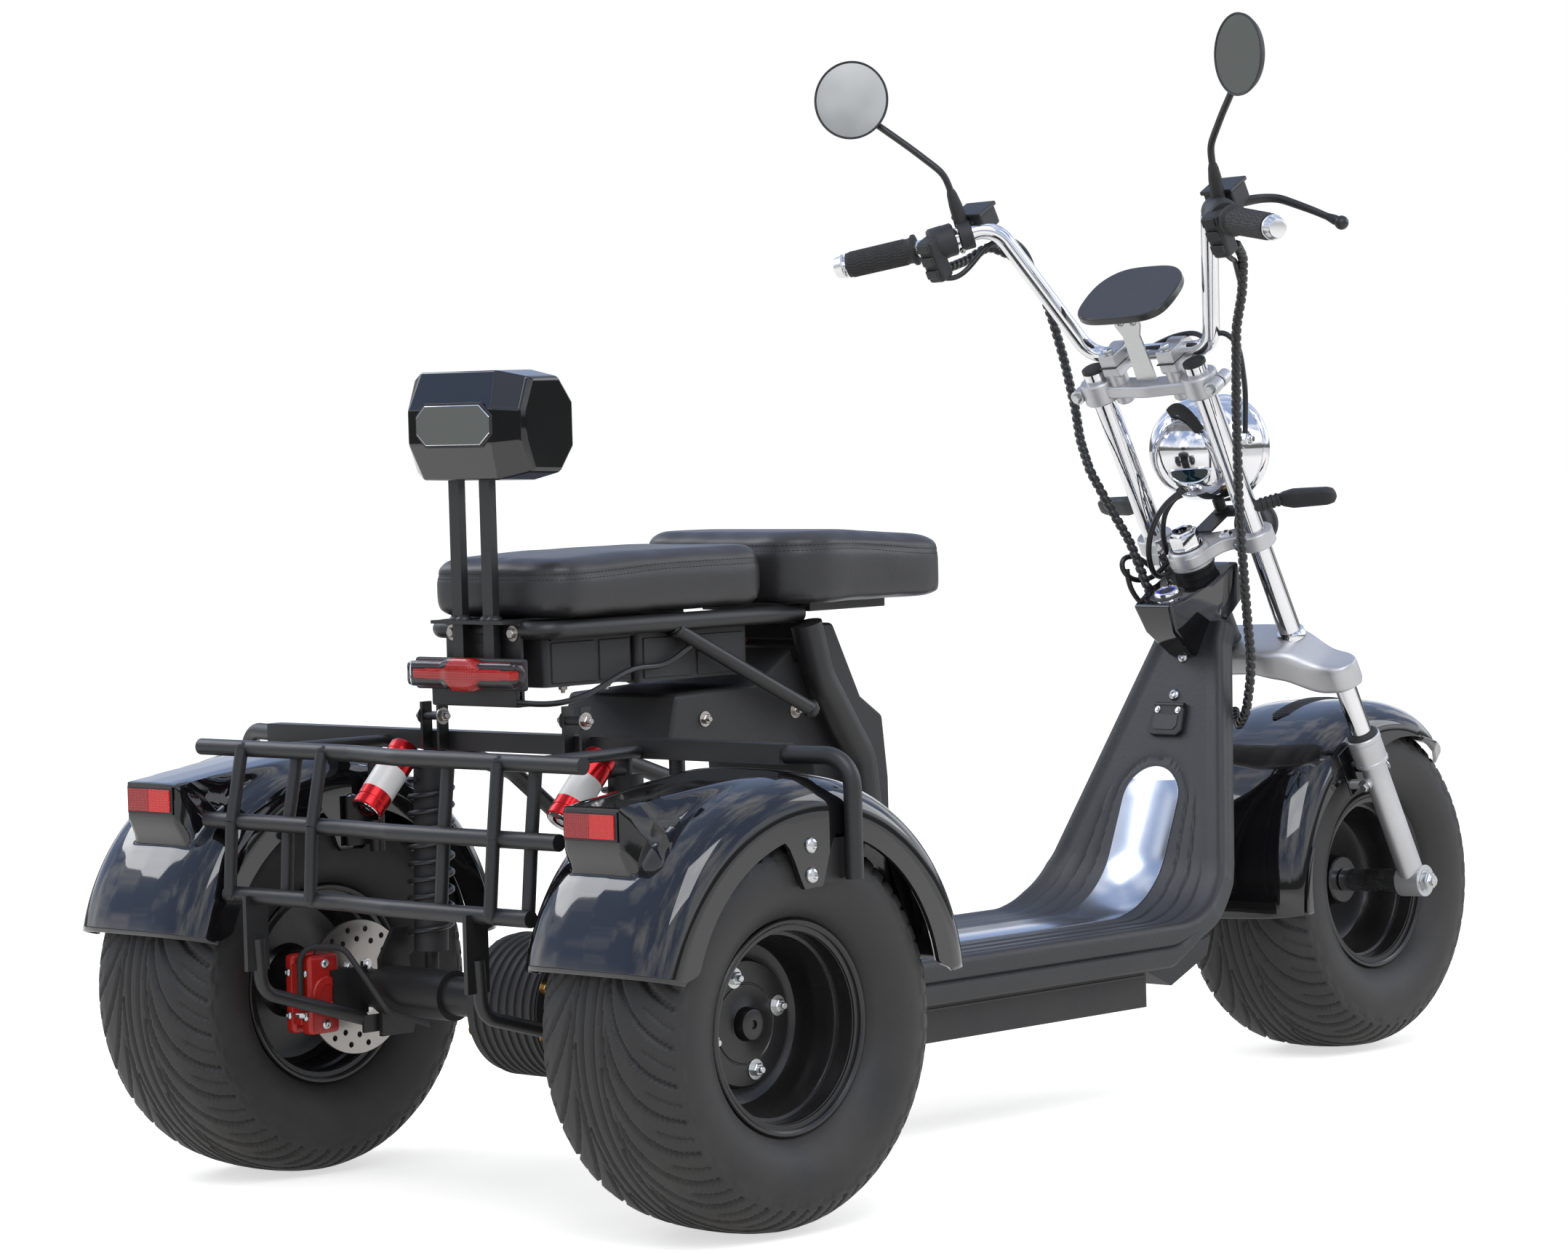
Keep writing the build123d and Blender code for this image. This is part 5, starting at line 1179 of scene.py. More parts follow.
def pad_site(points):
    points = np.asarray(points, float)
    tilt = math.radians(10)
    u = points[:, 0] * math.cos(tilt) - points[:, 2] * math.sin(tilt)
    w = points[:, 0] * math.sin(tilt) + points[:, 2] * math.cos(tilt)
    return fork_site(np.stack([76 + u, points[:, 1], 872 + w], 1))


pad_black = finish("pad_black", (0.018, 0.018, 0.019), 0.20, grain=300, bump=0.04, dust=0.02, second=(0.035, 0.035, 0.037), blotch=12, rough_spread=0.2)
cut_plate("phone_pad_plate", pad_outline, -5.5, 5.5, 2.6, pad_black, "steering", "gloss", pad_site, smooth=30, hides=["phone_pad"], segments=4)
bracket_outline = [(-20, 869), (20, 869), (20, 842), (13.5, 828), (16, 762.5), (-16, 762.5), (-13.5, 828), (-20, 842)]
cut_plate("pad_bracket_plate", bracket_outline, 38, 41, 0.6, zinc, "steering", "steel", lambda p: fork_site(np.asarray(p)[:, [2, 0, 1]]), hides=["pad_bracket"])
stamped("pad_bracket_bolts", dome_bolt, [(fork_site((38, v, 848)), -fork_ahead, 0.0055) for v in (-10, 10)], zinc, "steering", "steel")

# Head cover: a gloss black wedge over the head tube. Its sloping top carries the round start
# button, a chrome ring round a dark face with a blue line of light.
cover_outline = [(-79, 416), (-104, 468), (-102, 507), (-60, 503), (-40, 500), (-30, 499), (30, 499), (34, 442), (0, 432), (-40, 420)]


def cover_site(points):
    """Metres from (u, w, v) millimetres; v narrows towards the cover's lower and rear ends."""
    points = np.asarray(points, float)
    narrow = np.interp(points[:, 1], [416, 450, 500], [0.55, 0.72, 1.0]) * np.interp(points[:, 0], [-104, -80, -40], [0.62, 0.78, 1.0])
    return steered_back(np.stack([points[:, 0], points[:, 2] * narrow, points[:, 1]], 1))


cut_plate("head_cover_shell", cover_outline, -50, 50, 5.0, gloss_black, "chassis", "gloss", cover_site, hides=["head_cover"], segments=4)
# Start button and charging flap: a chrome ring with a dark face in the cover's sloping top, and a
# moulded cap with a hinge bar and two bolts on the shield.
button_at, button_aim = steered_back((-66, 0, 503.3)), straight_frame @ np.array([0.11, 0, 1.0])
stamped("start_button_ring", turned_shape([(0, 0), (17.5, 0), (17.8, 1.5), (16.4, 5.6), (15, 6.6), (13.2, 6.2), (12.6, 4.8), (0, 4.8)], 60), [(button_at, button_aim, 0.001)], chrome, "chassis", "chrome", hides=["start_button"])
button_blue = finish("button_blue", (0.02, 0.03, 0.30), 0.2, grain=600, bump=0.05, dust=0.0)
button_blue.node_tree.nodes["Principled BSDF"].inputs["Emission Color"].default_value = (0.06, 0.07, 0.9, 1)
button_blue.node_tree.nodes["Principled BSDF"].inputs["Emission Strength"].default_value = 0.5
stamped("start_button_light", turned_shape([(10.4, 4.7), (12.4, 4.7), (12.4, 5.5), (10.4, 5.5)], 60), [(button_at, button_aim, 0.001)], button_blue, "chassis", "chrome")
stamped("start_button_face", turned_shape([(0, 4.7), (10.4, 4.7), (10.2, 5.6), (6, 5.9), (0, 5.9)], 60), [(button_at, button_aim, 0.001)], satin_black, "chassis", "chrome")
stamped("start_button_bezel", turned_shape([(16, -2), (23, -2), (23.4, 0), (22, 1.2), (17, 1.4)], 60), [(button_at, button_aim, 0.001)], mould_black, "chassis", "gloss")


def shield_site(points):
    """Metres from millimetres on the leg shield: left, up the face from z 462, out of the face."""
    points = np.asarray(points, float)
    slope = math.atan2(1243 - 1092, 590 - 222)
    foot = np.array([1092 + (462 - 222) * math.tan(slope), 0, 462])
    rise, out = np.array([math.sin(slope), 0, math.cos(slope)]), np.array([-math.cos(slope), 0, math.sin(slope)])
    return site(foot + points[:, :1] * np.array([0, 1, 0]) + points[:, 1:2] * rise + points[:, 2:] * out)


flap_outline = [(-29, -13), (-22, -20), (22, -20), (29, -13), (26, 16), (22, 20), (-22, 20), (-26, 16)]
cut_plate("charge_flap_cap", flap_outline, 0.2, 6.2, 1.8, mould_black, "chassis", "gloss", shield_site, hides=["charge_flap"])
cut_plate("charge_flap_inset", [(-20, -8), (-15, -13), (15, -13), (20, -8), (19, 8), (-19, 8)], 5.8, 7.0, 0.8, satin_black, "chassis", "gloss", shield_site)
hinge = shield_site([(-24, 21.5, 3.5), (24, 21.5, 3.5)])
points, quads = swept(hinge[0] + (hinge[1] - hinge[0]) * np.linspace(0, 1, 12)[:, None], 0.0034, 0.0034)
mesh_piece("charge_flap_hinge", points, quads, satin_black, "chassis", "frame")
stamped("charge_flap_bolts", hex_bolt, [(shield_site([(x, 14, 6.2)])[0], shield_site([(0, 0, 1)])[0] - shield_site([(0, 0, 0)])[0], 0.0030) for x in (-17, 17)], zinc, "chassis", "steel")

# Control cables: two bundles in black spiral wrap that hang from the bars and run down past the
# fork to the frame, and single black leads round the lamp and the mid yoke.
wrap_black = finish("wrap_black", (0.010, 0.010, 0.0105), 0.34, grain=900, bump=0.1, dust=0.04)


def wrapped_cable(name, route, radius, pitch, count, material=None, place=fork_site, body="steering", ridge=0.26):
    """A cable along a rounded route. Its wrap is a helix: the radius dips where
    2 pi (length / pitch) + angle passes a full turn."""
    line = rounded_line(route, count, count // 9 if pitch < 1 else count)
    path = place(line)
    run = np.concatenate([[0], np.cumsum(np.linalg.norm(np.diff(path, axis=0), axis=1))])
    turn = np.linspace(0, 2 * math.pi, 16, endpoint=False)[None, :]
    wave = np.cos(2 * math.pi * run[:, None] / pitch + turn)
    half = radius * (1 - ridge * smooth_step(wave, 0.1, 0.9)) if pitch < 1 else np.full((count, 16), radius)
    points, quads = swept(path, half, half, around=16)
    return mesh_piece(name, points, quads, material or wrap_black, body, "rubber", sharp=60)


right_route = [(10, -232, 958), (28, -222, 930), (30, -200, 880), (21, -180, 837), (5, -150, 733), (-24, -128, 620), (-49, -118, 536), (-66, -107, 462),
               (-75, -100, 415), (-88, -97, 388), (-108, -88, 350), (-100, -60, 322), (-60, -30, 322)]
left_route = [(10, 232, 958), (60, 236, 945), (100, 226, 945), (124, 205, 912), (122, 185, 872), (104, 170, 830), (84, 158, 782), (50, 140, 725), (25, 130, 690), (-2, 110, 658),
              (-13, 90, 607), (-17, 75, 558), (-33, 60, 499), (-40, 52, 470), (-20, 40, 430)]
bundles = [wrapped_cable("cable_bundle_right", right_route, 0.0064, 0.0105, 560, body=None)]
bundles.append(wrapped_cable("cable_bundle_left", left_route, 0.0064, 0.0105, 560, body=None))
for bundle in bundles:
    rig.blend(bundle, "steering", "chassis", start=tuple(fork_site((0, 0, 700))), end=tuple(fork_site((0, 0, 430))))
lead_routes = {
    "pod_lead_left": ([(-10, 226, 955), (0, 215, 944), (26, 205, 950), (60, 190, 968), (84, 170, 962), (104, 170, 930), (112, 178, 890)], 0.0035),
    "pod_lead_right": ([(-10, -226, 955), (6, -222, 938), (20, -214, 930), (28, -205, 900)], 0.0035),
    "bar_lead": ([(60, -96, 806), (78, -70, 808), (84, -30, 802), (80, 10, 790), (74, 40, 780), (84, 70, 770)], 0.0035),
    "bar_lead_right": ([(60, -96, 806), (72, -120, 812), (66, -140, 790), (40, -146, 740), (14, -142, 690)], 0.0035),
    "lamp_lead": ([(60, 10, 585), (40, 24, 590), (22, 36, 575), (14, 44, 550), (14, 48, 520)], 0.0035),
    "loop_lead": ([(70, -46, 590), (52, -20, 604), (30, 6, 604), (8, 30, 590), (-12, 50, 556), (-18, 58, 520), (-10, 62, 492), (14, 60, 486), (40, 52, 492)], 0.0038),
    "loop_small": ([(30, 62, 500), (0, 72, 492), (-24, 84, 500), (-34, 92, 520), (-24, 94, 538), (-4, 84, 530), (4, 72, 505)], 0.0036),
    "loop_large": ([(-24, 90, 520), (-36, 88, 500), (-34, 80, 470), (-14, 68, 446), (16, 56, 442), (44, 48, 462), (52, 44, 490)], 0.0036),
}
for name, (route, radius) in lead_routes.items():
    loops = name.startswith("loop")
    lead = wrapped_cable(name, route, radius, 10, 110, body=None if loops else "steering")
    if loops:
        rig.blend(lead, "steering", "chassis", start=tuple(fork_site((0, 0, 590))), end=tuple(fork_site((0, 0, 500))))
stamped("loose_connector", turned_shape([(0, 0), (8, 0), (8, 14), (7, 15), (7, 26), (5, 28), (0, 28)], 4), [(fork_site((4, 66, 510)), fork_frame @ np.array([0.25, -0.1, 0.96]), 0.001)],
        finish("nylon_white", (0.72, 0.74, 0.74), 0.35, grain=700, bump=0.1, dust=0.03), "steering", "rubber", sharp=30)
wrapped_cable("tail_lamp_lead", [(-26, -70, 566), (10, -88, 560), (60, -96, 568), (110, -96, 590), (150, -92, 600), (180, -92, 590), (230, -98, 620)], 0.0034, 10, 90, place=site, body="chassis")
wrapped_cable("battery_lead", [(330, 20, 600), (345, 10, 622), (362, 0, 632), (385, -8, 628), (400, -10, 610)], 0.0045, 10, 60, finish("lead_red", (0.13, 0.025, 0.015), 0.4, grain=700, bump=0.1, dust=0.1), site, "chassis")
# Backrest: a faceted gloss black shell on two flat bars, its ends wrap forward, and an
# eight-sided clear-coated bright window in the face that looks back.
shell_profile = np.array([(-35, -60), (-50, -20), (-50, 20), (-35, 62), (20, 62), (45, 30), (45, -30), (20, -62)], float)
shell_y = np.array([-96, -93, -62, -60, 0, 60, 62, 93, 96.0])
shell_scale = np.array([0.74, 0.82, 1.0, 1.0, 1.0, 1.0, 1.0, 0.82, 0.74])
shell_shift = np.array([16, 12, 0.0, 0, 0, 0, 0, 12, 16])
mid_bulge = np.array([0, 1, 1, 0, 0, 1, 1, 0.0])
shell_grid = np.stack([shell_profile[None, :, 0] * shell_scale[:, None] + shell_shift[:, None],
                       shell_y[:, None] + np.sign(shell_y)[:, None] * 7 * mid_bulge[None, :] * (np.abs(shell_y)[:, None] == 62),
                       875 + shell_profile[None, :, 1] * (0.3 + 0.7 * shell_scale)[:, None]], -1)
points, quads = capped_sweep(site(shell_grid))
shell = mesh_piece("backrest_cover", points, quads, gloss_black, "chassis", "gloss", sharp=8, hides=["backrest_shell"])
soft_edge = shell.modifiers.new("edge", "BEVEL")
soft_edge.width, soft_edge.segments, soft_edge.harden_normals = 0.0022, 3, True
soft_edge.limit_method, soft_edge.angle_limit = "ANGLE", math.radians(12)


def facing_back(points):
    """Metres from (y, z, x) millimetres, for plates that look back."""
    return site(np.asarray(points, float)[:, [2, 0, 1]])


window_outline = [(-68, 867), (-52, 854), (38, 854), (53, 867), (53, 886), (38, 899), (-52, 899), (-68, 886)]
cut_plate("backrest_window_rim", [(-7.5 + (y + 7.5) * 1.05, 876.5 + (z - 876.5) * 1.12) for y, z in window_outline], -50.9, -49.6, 0.5, satin_black, "chassis", "gloss", facing_back)
cut_plate("backrest_window_pane", window_outline, -53, -50.4, 1.0, silvered, "chassis", "mirror", facing_back, hides=["backrest_window"])
bar_welds = [(site((-19, side * y, 657.5)), (0, 0, 1), 0.0075) for side in (1, -1) for y in (20, 31)]
weld_bead = joined(turned_shape([(0, -0.3), (1.25, -0.3), (1.35, 0), (1.1, 0.35), (0.9, 0.5), (0, 0.5)], 14), turned_shape([(0, 0), (1.0, 0), (0.95, 0.62), (0, 0.7)], 12))
stamped("backrest_bar_welds", weld_bead, bar_welds, satin_black, "chassis", "frame", sharp=60)

# Tail lamp: clear moulded lens over a red core that widens at the middle, on a black housing
lamp_y = np.linspace(-92, 92, 93)[:, None]
core = smooth_step(34 - np.abs(lamp_y), 0, 20)
edge_fall = np.sqrt(np.clip(1 - (np.clip(np.abs(lamp_y) - 82, 0, None) / 10.2) ** 4, 0.02, 1))


def lamp_loft(half_high, deep, back, inset=0.0):
    """Sections across the lamp: an oblong whose height and depth swell at the middle."""
    t = np.linspace(0, 2 * math.pi, 28, endpoint=False)[None, :]
    c, s = np.sign(np.cos(t)) * np.abs(np.cos(t)) ** 0.5, np.sign(np.sin(t)) * np.abs(np.sin(t)) ** 0.5
    x = back - deep / 2 + deep / 2 * c
    return capped_sweep(site(np.stack(np.broadcast_arrays(x, lamp_y * (1 - inset), 597 + half_high * s), -1)))


points, quads = lamp_loft((14.5 + 4.4 * core) * edge_fall, (17.0 + 3.5 * core) * edge_fall, -31.0)
mesh_piece("tail_lamp_lens", points, quads, lens_glass, "chassis", "redlens", sharp=50, hides=["tail_lamp"])
points, quads = lamp_loft(np.where(np.abs(lamp_y) > 70, 5, 6 + 10 * core) * np.ones_like(lamp_y), 9.0 + 6 * core, -33.0, 0.13)
mesh_piece("tail_lamp_core", points, quads, lens_glowing, "chassis", "redlens", sharp=50)
soft_box("tail_lamp_housing", (-32.5, -91, 579), (-24.2, 91, 615), 3.5, mould_black, "chassis", "frame")
soft_box("tail_lamp_plate", (-26.0, -70, 561), (-24.1, 70, 592), 0.8, satin_black, "chassis", "frame")
plate_bolts = [(site((-9.3, y, z)), (-1, 0, 0), 0.0062) for y in (-50, 50) for z in (642, 574)]
stamped("rear_plate_bolts", hex_bolt, plate_bolts, ground_steel, "chassis", "steel")
cut_plate("rear_plate_slot", [(-16, 608), (12, 608), (16, 612), (16, 630), (-16, 630)], -10.4, -8.9, 0.3, satin_black, "chassis", "frame", facing_back)

# Cross-bar ears: each pair of plates is clamped by a hex bolt with a washer on its outer side
ear_bolts = [(site((18, side * 134.6, 544)), (0, side, 0), 0.0068) for side in (1, -1)] + [(site((18, side * 102.4, 544)), (0, -side, 0), 0.0068) for side in (1, -1)]
stamped("ear_bolts", stud_nut, ear_bolts, ground_steel, "chassis", "steel")

# Shock canisters: red anodised tubes with a plain white band, turned grooves and an open lower
# end with a chrome rim and a hex socket
band_white = finish("band_white", (0.62, 0.62, 0.63), 0.35, grain=900, bump=0.05, dust=0.05)
canister_profile = [(0, 0.8), (13, 0.8), (14, -0.6), (18, -0.6), (19, 0.8), (19, 9), (18.2, 9.8), (18.2, 12.2), (19, 13), (19, 76), (18.2, 77), (18.2, 79.6), (19, 80.4), (19, 90), (17.5, 92.6), (0, 92.6)]
for name, y, lean in (("left", 152.0, -4.0), ("right", -182.0, 6.0)):
    foot, head = np.array([-62, y + lean, 440]), np.array([2, y + lean, 507])
    aim = head - foot
    stamped("shock_canister_" + name, turned_shape(canister_profile, 64), [(site(foot), aim, 0.001)], red_anodised, "chassis", "red", hides=["shock_canisters"] if name == "left" else [])
    stamped("canister_band_" + name, turned_shape([(18.8, 24), (19.25, 24.3), (19.25, 58), (18.8, 58.3)], 64), [(site(foot), aim, 0.001)], band_white, "chassis", "red")
    stamped("canister_rim_" + name, turned_shape([(10, -1.0), (16.6, -1.2), (17.4, -0.4), (17.0, 0.8), (10, 0.6)], 48), [(site(foot), aim, 0.001)], chrome, "chassis", "chrome")
    stamped("canister_socket_" + name, turned_shape([(0, -0.6), (6.5, -0.6), (7, 0.9), (0, 0.9)], 6), [(site(foot), aim, 0.001)], chrome, "chassis", "chrome")
    coil_t = np.linspace(0, 1, 300)[:, None]
    coil_path = np.array([34, y, 284]) + np.array([4, lean, 186]) * coil_t + 24.5 * np.concatenate([np.cos(2 * math.pi * 9.5 * coil_t), np.sin(2 * math.pi * 9.5 * coil_t), 0 * coil_t], 1)
    points, quads = swept(site(coil_path), 0.0034, 0.0034, around=10, helper=(0.02, 0.01, 1.0))
    mesh_piece("shock_spring_" + name, points, quads, satin_black, "chassis", "frame")

# Brake: a steel disc with two staggered rings of holes, and a red caliper in two halves with a
# round piston boss, a black pad slot, a bridge bolt and a zinc banjo for its hose
disc_holes = []
for ring_r, start in ((56, 0), (68, 11.25)):
    disc_holes += [(ring_r * math.cos(math.radians(start + 22.5 * k)), ring_r * math.sin(math.radians(start + 22.5 * k))) for k in range(16)]
disc_shape = turned_shape([(30, 0), (78, 0), (78, 4), (30, 4)], 120)
disc = stamped("brake_disc_drilled", disc_shape, [(site((0, 244, 225)), (0, 1, 0), 0.001)], ground_steel, "rear_left_wheel", "steel", hides=["brake_disc"])
drills = stamped("drills", turned_shape([(0, -4), (3.6, -4), (3.6, 8), (0, 8)], 14), [(site((x, 244, 225 + z)), (0, 1, 0), 0.001) for x, z in disc_holes], ground_steel, "rear_left_wheel", "steel", sharp=None)
cut = disc.modifiers.new("holes", "BOOLEAN")
cut.operation, cut.object, cut.solver = "DIFFERENCE", drills, "EXACT"
settled(disc)
bpy.data.objects.remove(drills)
disc.data.shade_flat()
stamped("disc_carrier", turned_shape([(14.2, 0), (34, 0), (36, 3), (36, 12), (33, 16), (30, 60), (34, 66), (14.2, 66)], 48), [(site((0, 246, 225)), (0, 1, 0), 0.001)], ground_steel, "rear_left_wheel", "steel")
stamped("disc_bolts", hex_bolt, [(site((29 * math.cos(a), 244, 225 + 29 * math.sin(a))), (0, -1, 0), 0.0045) for a in np.radians([0, 60, 120, 180, 240, 300])], zinc, "rear_left_wheel", "steel")
soft_box("caliper_inner", (-92, 222, 179), (-46, 240.4, 271), 6.0, red_paint, "chassis", "red", hides=["brake_caliper"])
soft_box("caliper_outer", (-92, 251.6, 179), (-46, 268, 271), 6.0, red_paint, "chassis", "red")
soft_box("caliper_bridge", (-92.5, 238, 190), (-82, 254, 260), 1.5, red_paint, "chassis", "red")
soft_box("caliper_pad_slot", (-80, 240.2, 198), (-50, 243.6, 252), 0.5, satin_black, "chassis", "frame")
stamped("caliper_boss", turned_shape([(0, 0), (21, 0), (21, 3), (19.5, 4.6), (12, 5.4), (11, 4.2), (0, 4.2)], 44), [(site((-69, 222.4, 225)), (0, -1, 0), 0.001)], red_paint, "chassis", "red")
stamped("caliper_bolts", dome_bolt, [(site((-69, 222.2, z)), (0, -1, 0), 0.0058) for z in (190, 260)] + [(site((-92.4, y, z)), (-1, 0, 0), 0.005) for y in (231, 260) for z in (200, 250)], zinc, "chassis", "steel")
stamped("caliper_banjo", hex_bolt, [(site((-98, 232, 206)), (0, 0, -1), 0.0065)], zinc, "chassis", "steel")

# Motor and gearbox castings: ribs round the drum and a ring of plated bolts on its end covers
drum = [(0, 0), (58, 0), (61, 2), (61, 16), (75, 17), (78, 20)]
for k in range(8):
    drum += [(78, 22 + 13 * k), (80.5, 23 + 13 * k), (80.5, 26 + 13 * k), (78, 27 + 13 * k)]
drum += [(78, 128), (75, 131), (61, 132), (61, 144), (58, 146), (0, 146)]
stamped("motor_drum", turned_shape(drum, 96), [(site((0, -158, 225)), (0, 1, 0), 0.001)], box_black, "chassis", "box", sharp=40)
cover_ring = [(math.cos(a), math.sin(a)) for a in np.radians(np.arange(20, 380, 45))]
motor_bolts = [(site((69 * c, -141.6, 225 + 69 * s)), (0, -1, 0), 0.0052) for c, s in cover_ring] + [(site((69 * c, -26.4, 225 + 69 * s)), (0, 1, 0), 0.0052) for c, s in cover_ring]
stamped("motor_bolts", hex_bolt, motor_bolts, brass, "chassis", "steel")

# Seat box: battery case under the cushions, its sides stepped by upright panels, with studs and
# nuts below. A small plate is bolted under the front cushion.
for name, side in (("left", 1), ("right", -1)):
    for label, low, high in (("a", 22, 88), ("b", 96, 144)):
        soft_box("seat_box_panel_%s_%s" % (label, name), (low, min(side * 77, side * 79.6), 584), (high, max(side * 77, side * 79.6), 630), 1.2, box_black, "chassis", "box")
    for label, low, high in (("a", 160, 236), ("b", 246, 322)):
        soft_box("seat_box_rear_panel_%s_%s" % (label, name), (low, min(side * 83, side * 85.8), 582), (high, max(side * 83, side * 85.8), 628), 1.2, box_black, "chassis", "box")
stamped("seat_box_studs", stud_nut, [(site((x, y, 580.2)), (0, 0, -1), 0.0052) for x in (50, 118) for y in (-66, 66)], ground_steel, "chassis", "steel")
soft_box("front_pad_plate", (430, -90, 645), (560, 90, 655.6), 1.2, satin_black, "chassis", "frame")
case_bolts = [(site((x, side * 90.2, z)), (0, side, 0), 0.0062) for side in (1, -1) for x, z in ((250, 530), (400, 530))]
soft_case = [(190, 500), (205, 560), (334, 565), (440, 630), (470, 630), (515, 540), (552, 515), (560, 440), (560, 240), (440, 240), (430, 470)]
cut_plate("inner_case", soft_case, -89.8, 89.8, 5.0, box_black, "chassis", "box", lambda p: site(np.asarray(p, float)[:, [0, 2, 1]]), hides=["inner_cover"])
stamped("inner_case_bolts", stud_nut, case_bolts, ground_steel, "chassis", "steel")

# Weld beads where the rack's posts, the stays and the braces meet their tubes
bead_spots = []
for left_x, right_x, z, off in ((-152, -172, 514, 10.5), (-170, -182, 432, 10.5), (-176, -190, 349, 10.5)):
    for y, push in ((248, -8.0), (168, 8.0), (108, -8.0), (-108, 8.0), (-205, -8.0), (-248, 8.0)):
        bead_spots.append((site(((left_x if y > 0 else right_x) + push * 0.9, y, z)), (np.sign(push), 0, 0), 0.0062))
stamped("rack_weld_beads", weld_bead, bead_spots, satin_black, "chassis", "frame", sharp=60)
brace_beads = []
for side in (1, -1):
    brace_beads += [(site((202, side * 96, 635)), (0.5, 0, -0.5), 0.0085), (site((398, side * 117, 534)), (-0.9, 0, 0.5), 0.0085), (site((505, side * 113, 330)), (-1, 0, 0), 0.0105)]
stamped("frame_weld_beads", weld_bead, brace_beads, satin_black, "chassis", "frame", sharp=60)
# Battery box: a lid seam along each side under the floor
for name, side in (("left", 1), ("right", -1)):
    soft_box("battery_seam_" + name, (500, min(side * 139, side * 141.2), 160), (962, max(side * 139, side * 141.2), 163), 0.6, satin_black, "chassis", "box")
# Studio: a pale floor, soft light from all round, and the camera where the photograph's was
CAMERA_AZIMUTH = math.radians(44.197)
CAMERA_PITCH = math.radians(-2.706)
CAMERA_ROLL = math.radians(-1.583)
CAMERA_PLACE = (-3.79159 - 0.749, -4.15154, 0.90369)
FOCAL_PIXELS = 6844.6
FRAME_PIXELS = 2156.0
lens = bpy.data.cameras.new("camera")
lens.sensor_width = 36.0
lens.lens = FOCAL_PIXELS / FRAME_PIXELS * 36.0
camera = bpy.data.objects.new("camera", lens)
bpy.context.scene.collection.objects.link(camera)
forward = Vector((math.cos(CAMERA_PITCH) * math.cos(CAMERA_AZIMUTH), math.cos(CAMERA_PITCH) * math.sin(CAMERA_AZIMUTH),
                  math.sin(CAMERA_PITCH)))
side = forward.cross(Vector((0, 0, 1))).normalized()
up = side.cross(forward)
turn = Matrix.Rotation(-CAMERA_ROLL, 3, forward)
side, up = turn @ side, turn @ up
camera.matrix_world = Matrix.Translation(CAMERA_PLACE) @ Matrix((side, up, -forward)).transposed().to_4x4()
bpy.context.scene.camera = camera

floor_mesh = bpy.data.meshes.new("floor")
floor_mesh.from_pydata([(-30, -30, 0), (30, -30, 0), (30, 30, 0), (-30, 30, 0)], [], [(0, 1, 2, 3)])
floor = bpy.data.objects.new("floor", floor_mesh)
bpy.context.scene.collection.objects.link(floor)
pale = bpy.data.materials.new("pale_floor")
pale.use_nodes = True
tree = pale.node_tree
pale_shader = tree.nodes["Principled BSDF"]
pale_shader.inputs["Base Color"].default_value = (0.8, 0.8, 0.8, 1)
pale_shader.inputs["Roughness"].default_value = 0.9
pale_shader.inputs["Emission Color"].default_value = (1, 1, 1, 1)
rays = tree.nodes.new("ShaderNodeLightPath").outputs
seen = math_node(tree, "MULTIPLY", rays["Is Camera Ray"], 0.62)
mirrored = math_node(tree, "MULTIPLY", math_node(tree, "MAXIMUM", rays["Is Glossy Ray"], rays["Is Transmission Ray"]), 0.32)
link(tree, math_node(tree, "ADD", seen, mirrored), pale_shader.inputs["Emission Strength"])
floor_mesh.materials.append(pale)
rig.stage(floor)

# The world is even white to the camera and as light. Gloss and metal see a blue sky with soft
# clouds over a grey yard, worked out from the direction.
world = bpy.data.worlds.new("studio")
bpy.context.scene.world = world
world.use_nodes = True
tree = world.node_tree
backdrop = tree.nodes["Background"]
backdrop.inputs["Color"].default_value = (1, 1, 1, 1)
backdrop.inputs["Strength"].default_value = 0.62
way = tree.nodes.new("ShaderNodeTexCoord").outputs["Generated"]
split_way = tree.nodes.new("ShaderNodeSeparateXYZ")
link(tree, way, split_way.inputs[0])
clouds = noise_node(tree, way, 2.6, 7.0, 0.6)
cover = tree.nodes.new("ShaderNodeMapRange")
cover.inputs["From Min"].default_value, cover.inputs["From Max"].default_value = 0.47, 0.63
link(tree, clouds, cover.inputs["Value"])
sky = tree.nodes.new("ShaderNodeMix")
sky.data_type = "RGBA"
sky.inputs["A"].default_value = (0.27, 0.35, 0.54, 1)
sky.inputs["B"].default_value = (0.95, 0.96, 1.0, 1)
link(tree, cover.outputs["Result"], sky.inputs["Factor"])
haze = tree.nodes.new("ShaderNodeValToRGB")
haze.color_ramp.elements[0].position, haze.color_ramp.elements[0].color = 0.0, (0, 0, 0, 1)
haze.color_ramp.elements[1].position, haze.color_ramp.elements[1].color = 0.30, (1, 1, 1, 1)
link(tree, split_way.outputs["Z"], haze.inputs["Fac"])
horizon = tree.nodes.new("ShaderNodeMix")
horizon.data_type = "RGBA"
horizon.inputs["A"].default_value = (1.0, 1.0, 1.0, 1)
link(tree, haze.outputs["Color"], horizon.inputs["Factor"])
link(tree, sky.outputs["Result"], horizon.inputs["B"])
trees = tree.nodes.new("ShaderNodeMapRange")
trees.inputs["From Min"].default_value, trees.inputs["From Max"].default_value = 0.0, 0.05
link(tree, math_node(tree, "SUBTRACT", split_way.outputs["Z"], math_node(tree, "MULTIPLY", noise_node(tree, way, 5.0, 6.0, 0.7), 0.12)), trees.inputs["Value"])
yard = tree.nodes.new("ShaderNodeMix")
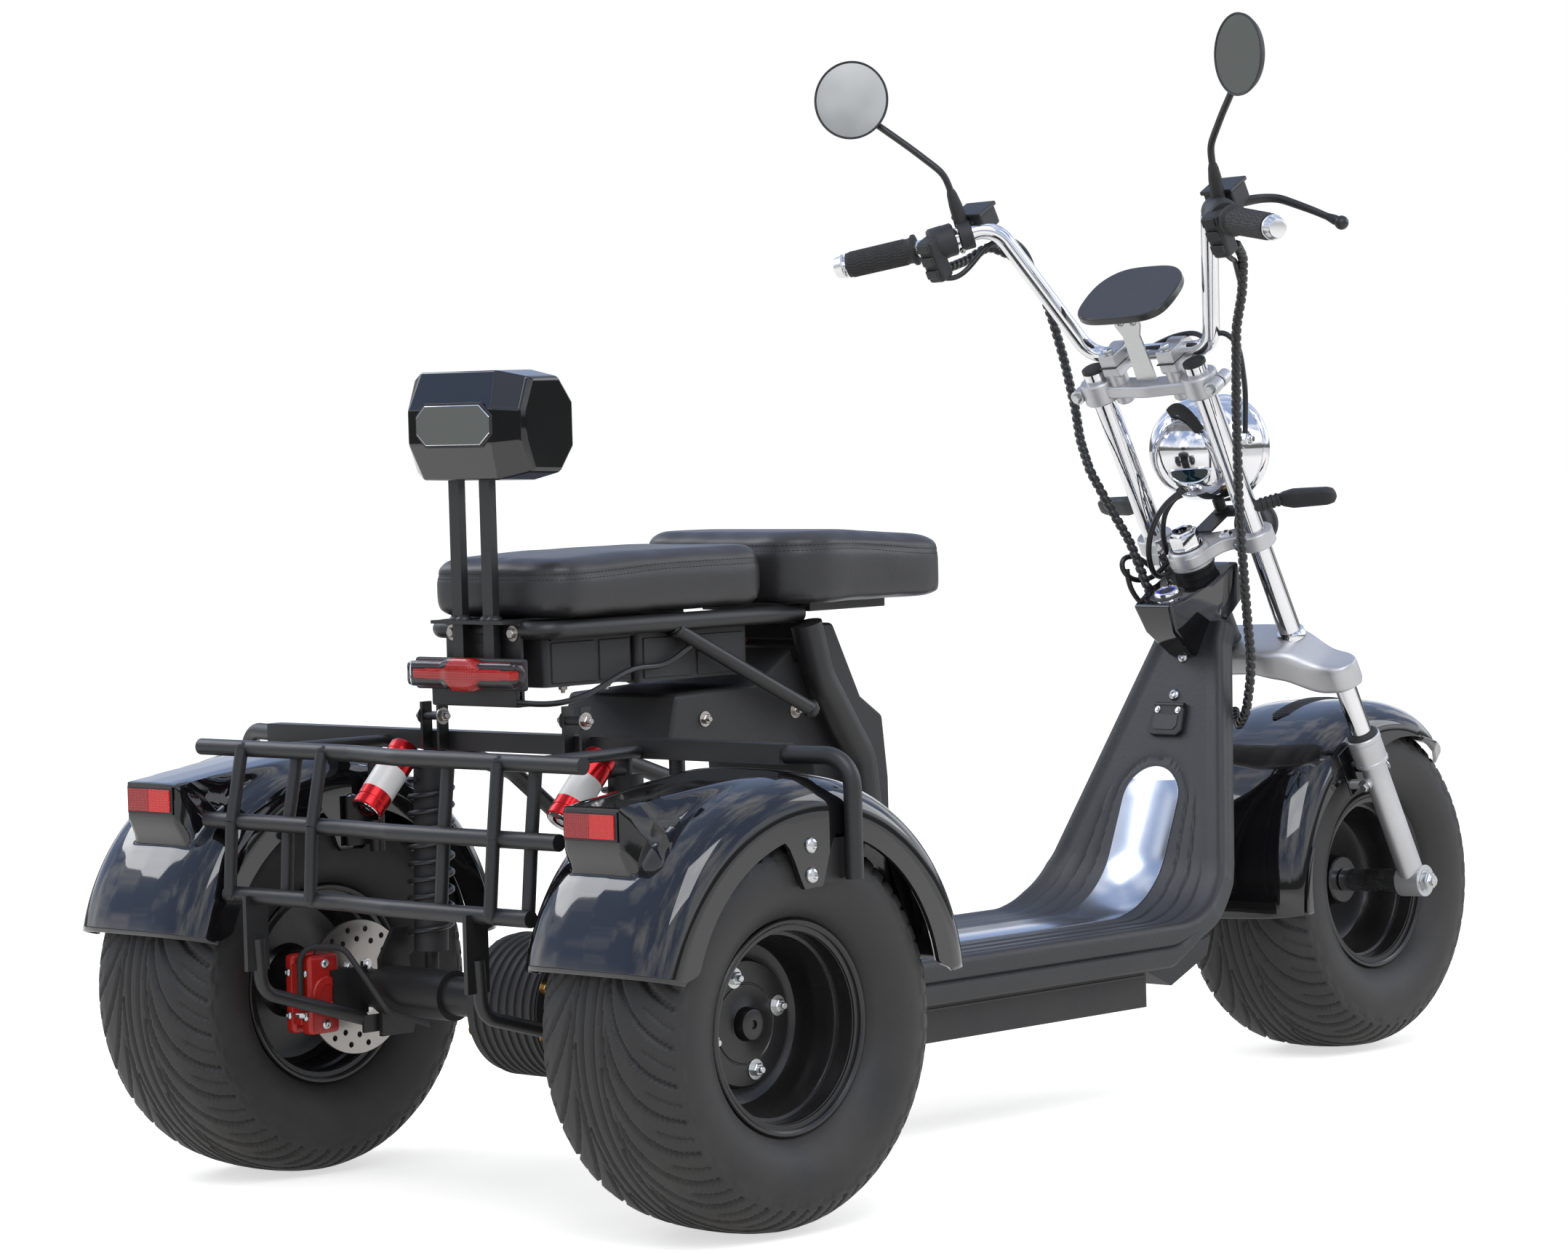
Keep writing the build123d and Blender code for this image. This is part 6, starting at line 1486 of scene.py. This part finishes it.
yard.data_type = "RGBA"
yard.inputs["A"].default_value = (0.10, 0.105, 0.10, 1)
link(tree, trees.outputs["Result"], yard.inputs["Factor"])
link(tree, horizon.outputs["Result"], yard.inputs["B"])
mirrored_yard = tree.nodes.new("ShaderNodeBackground")
mirrored_yard.inputs["Strength"].default_value = 1.5
link(tree, yard.outputs["Result"], mirrored_yard.inputs["Color"])
white = tree.nodes.new("ShaderNodeBackground")
white.inputs["Color"].default_value = (1, 1, 1, 1)
path = tree.nodes.new("ShaderNodeLightPath")
by_gloss = tree.nodes.new("ShaderNodeMixShader")
link(tree, path.outputs["Is Glossy Ray"], by_gloss.inputs[0])
link(tree, backdrop.outputs[0], by_gloss.inputs[1])
link(tree, mirrored_yard.outputs[0], by_gloss.inputs[2])
by_camera = tree.nodes.new("ShaderNodeMixShader")
link(tree, path.outputs["Is Camera Ray"], by_camera.inputs[0])
link(tree, by_gloss.outputs[0], by_camera.inputs[1])
link(tree, white.outputs[0], by_camera.inputs[2])
link(tree, by_camera.outputs[0], tree.nodes["World Output"].inputs["Surface"])


def area_lamp(name, place, target, size, power):
    lamp = bpy.data.lights.new(name, "AREA")
    lamp.shape = "RECTANGLE"
    lamp.size, lamp.size_y = size
    lamp.energy = power
    holder = bpy.data.objects.new(name, lamp)
    bpy.context.scene.collection.objects.link(holder)
    direction = Vector(target) - Vector(place)
    holder.matrix_world = Matrix.Translation(place) @ direction.to_track_quat("-Z", "Y").to_matrix().to_4x4()


area_lamp("key", (-2.5, -3.0, 4.5), (0, 0, 0.5), (3.0, 3.0), 120)
area_lamp("fill", (3.5, -2.5, 2.5), (0, 0, 0.5), (2.5, 2.5), 45)
area_lamp("rim_light", (-1.5, 4.0, 3.5), (0, 0, 0.5), (3.0, 2.0), 70)
bpy.context.scene.view_settings.view_transform = "Standard"

visual_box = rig.bounds()
with open("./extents.json", "w") as size_file:
    json.dump({"cad": [list(corner) for corner in cad_box], "visual": [list(corner) for corner in visual_box]}, size_file)
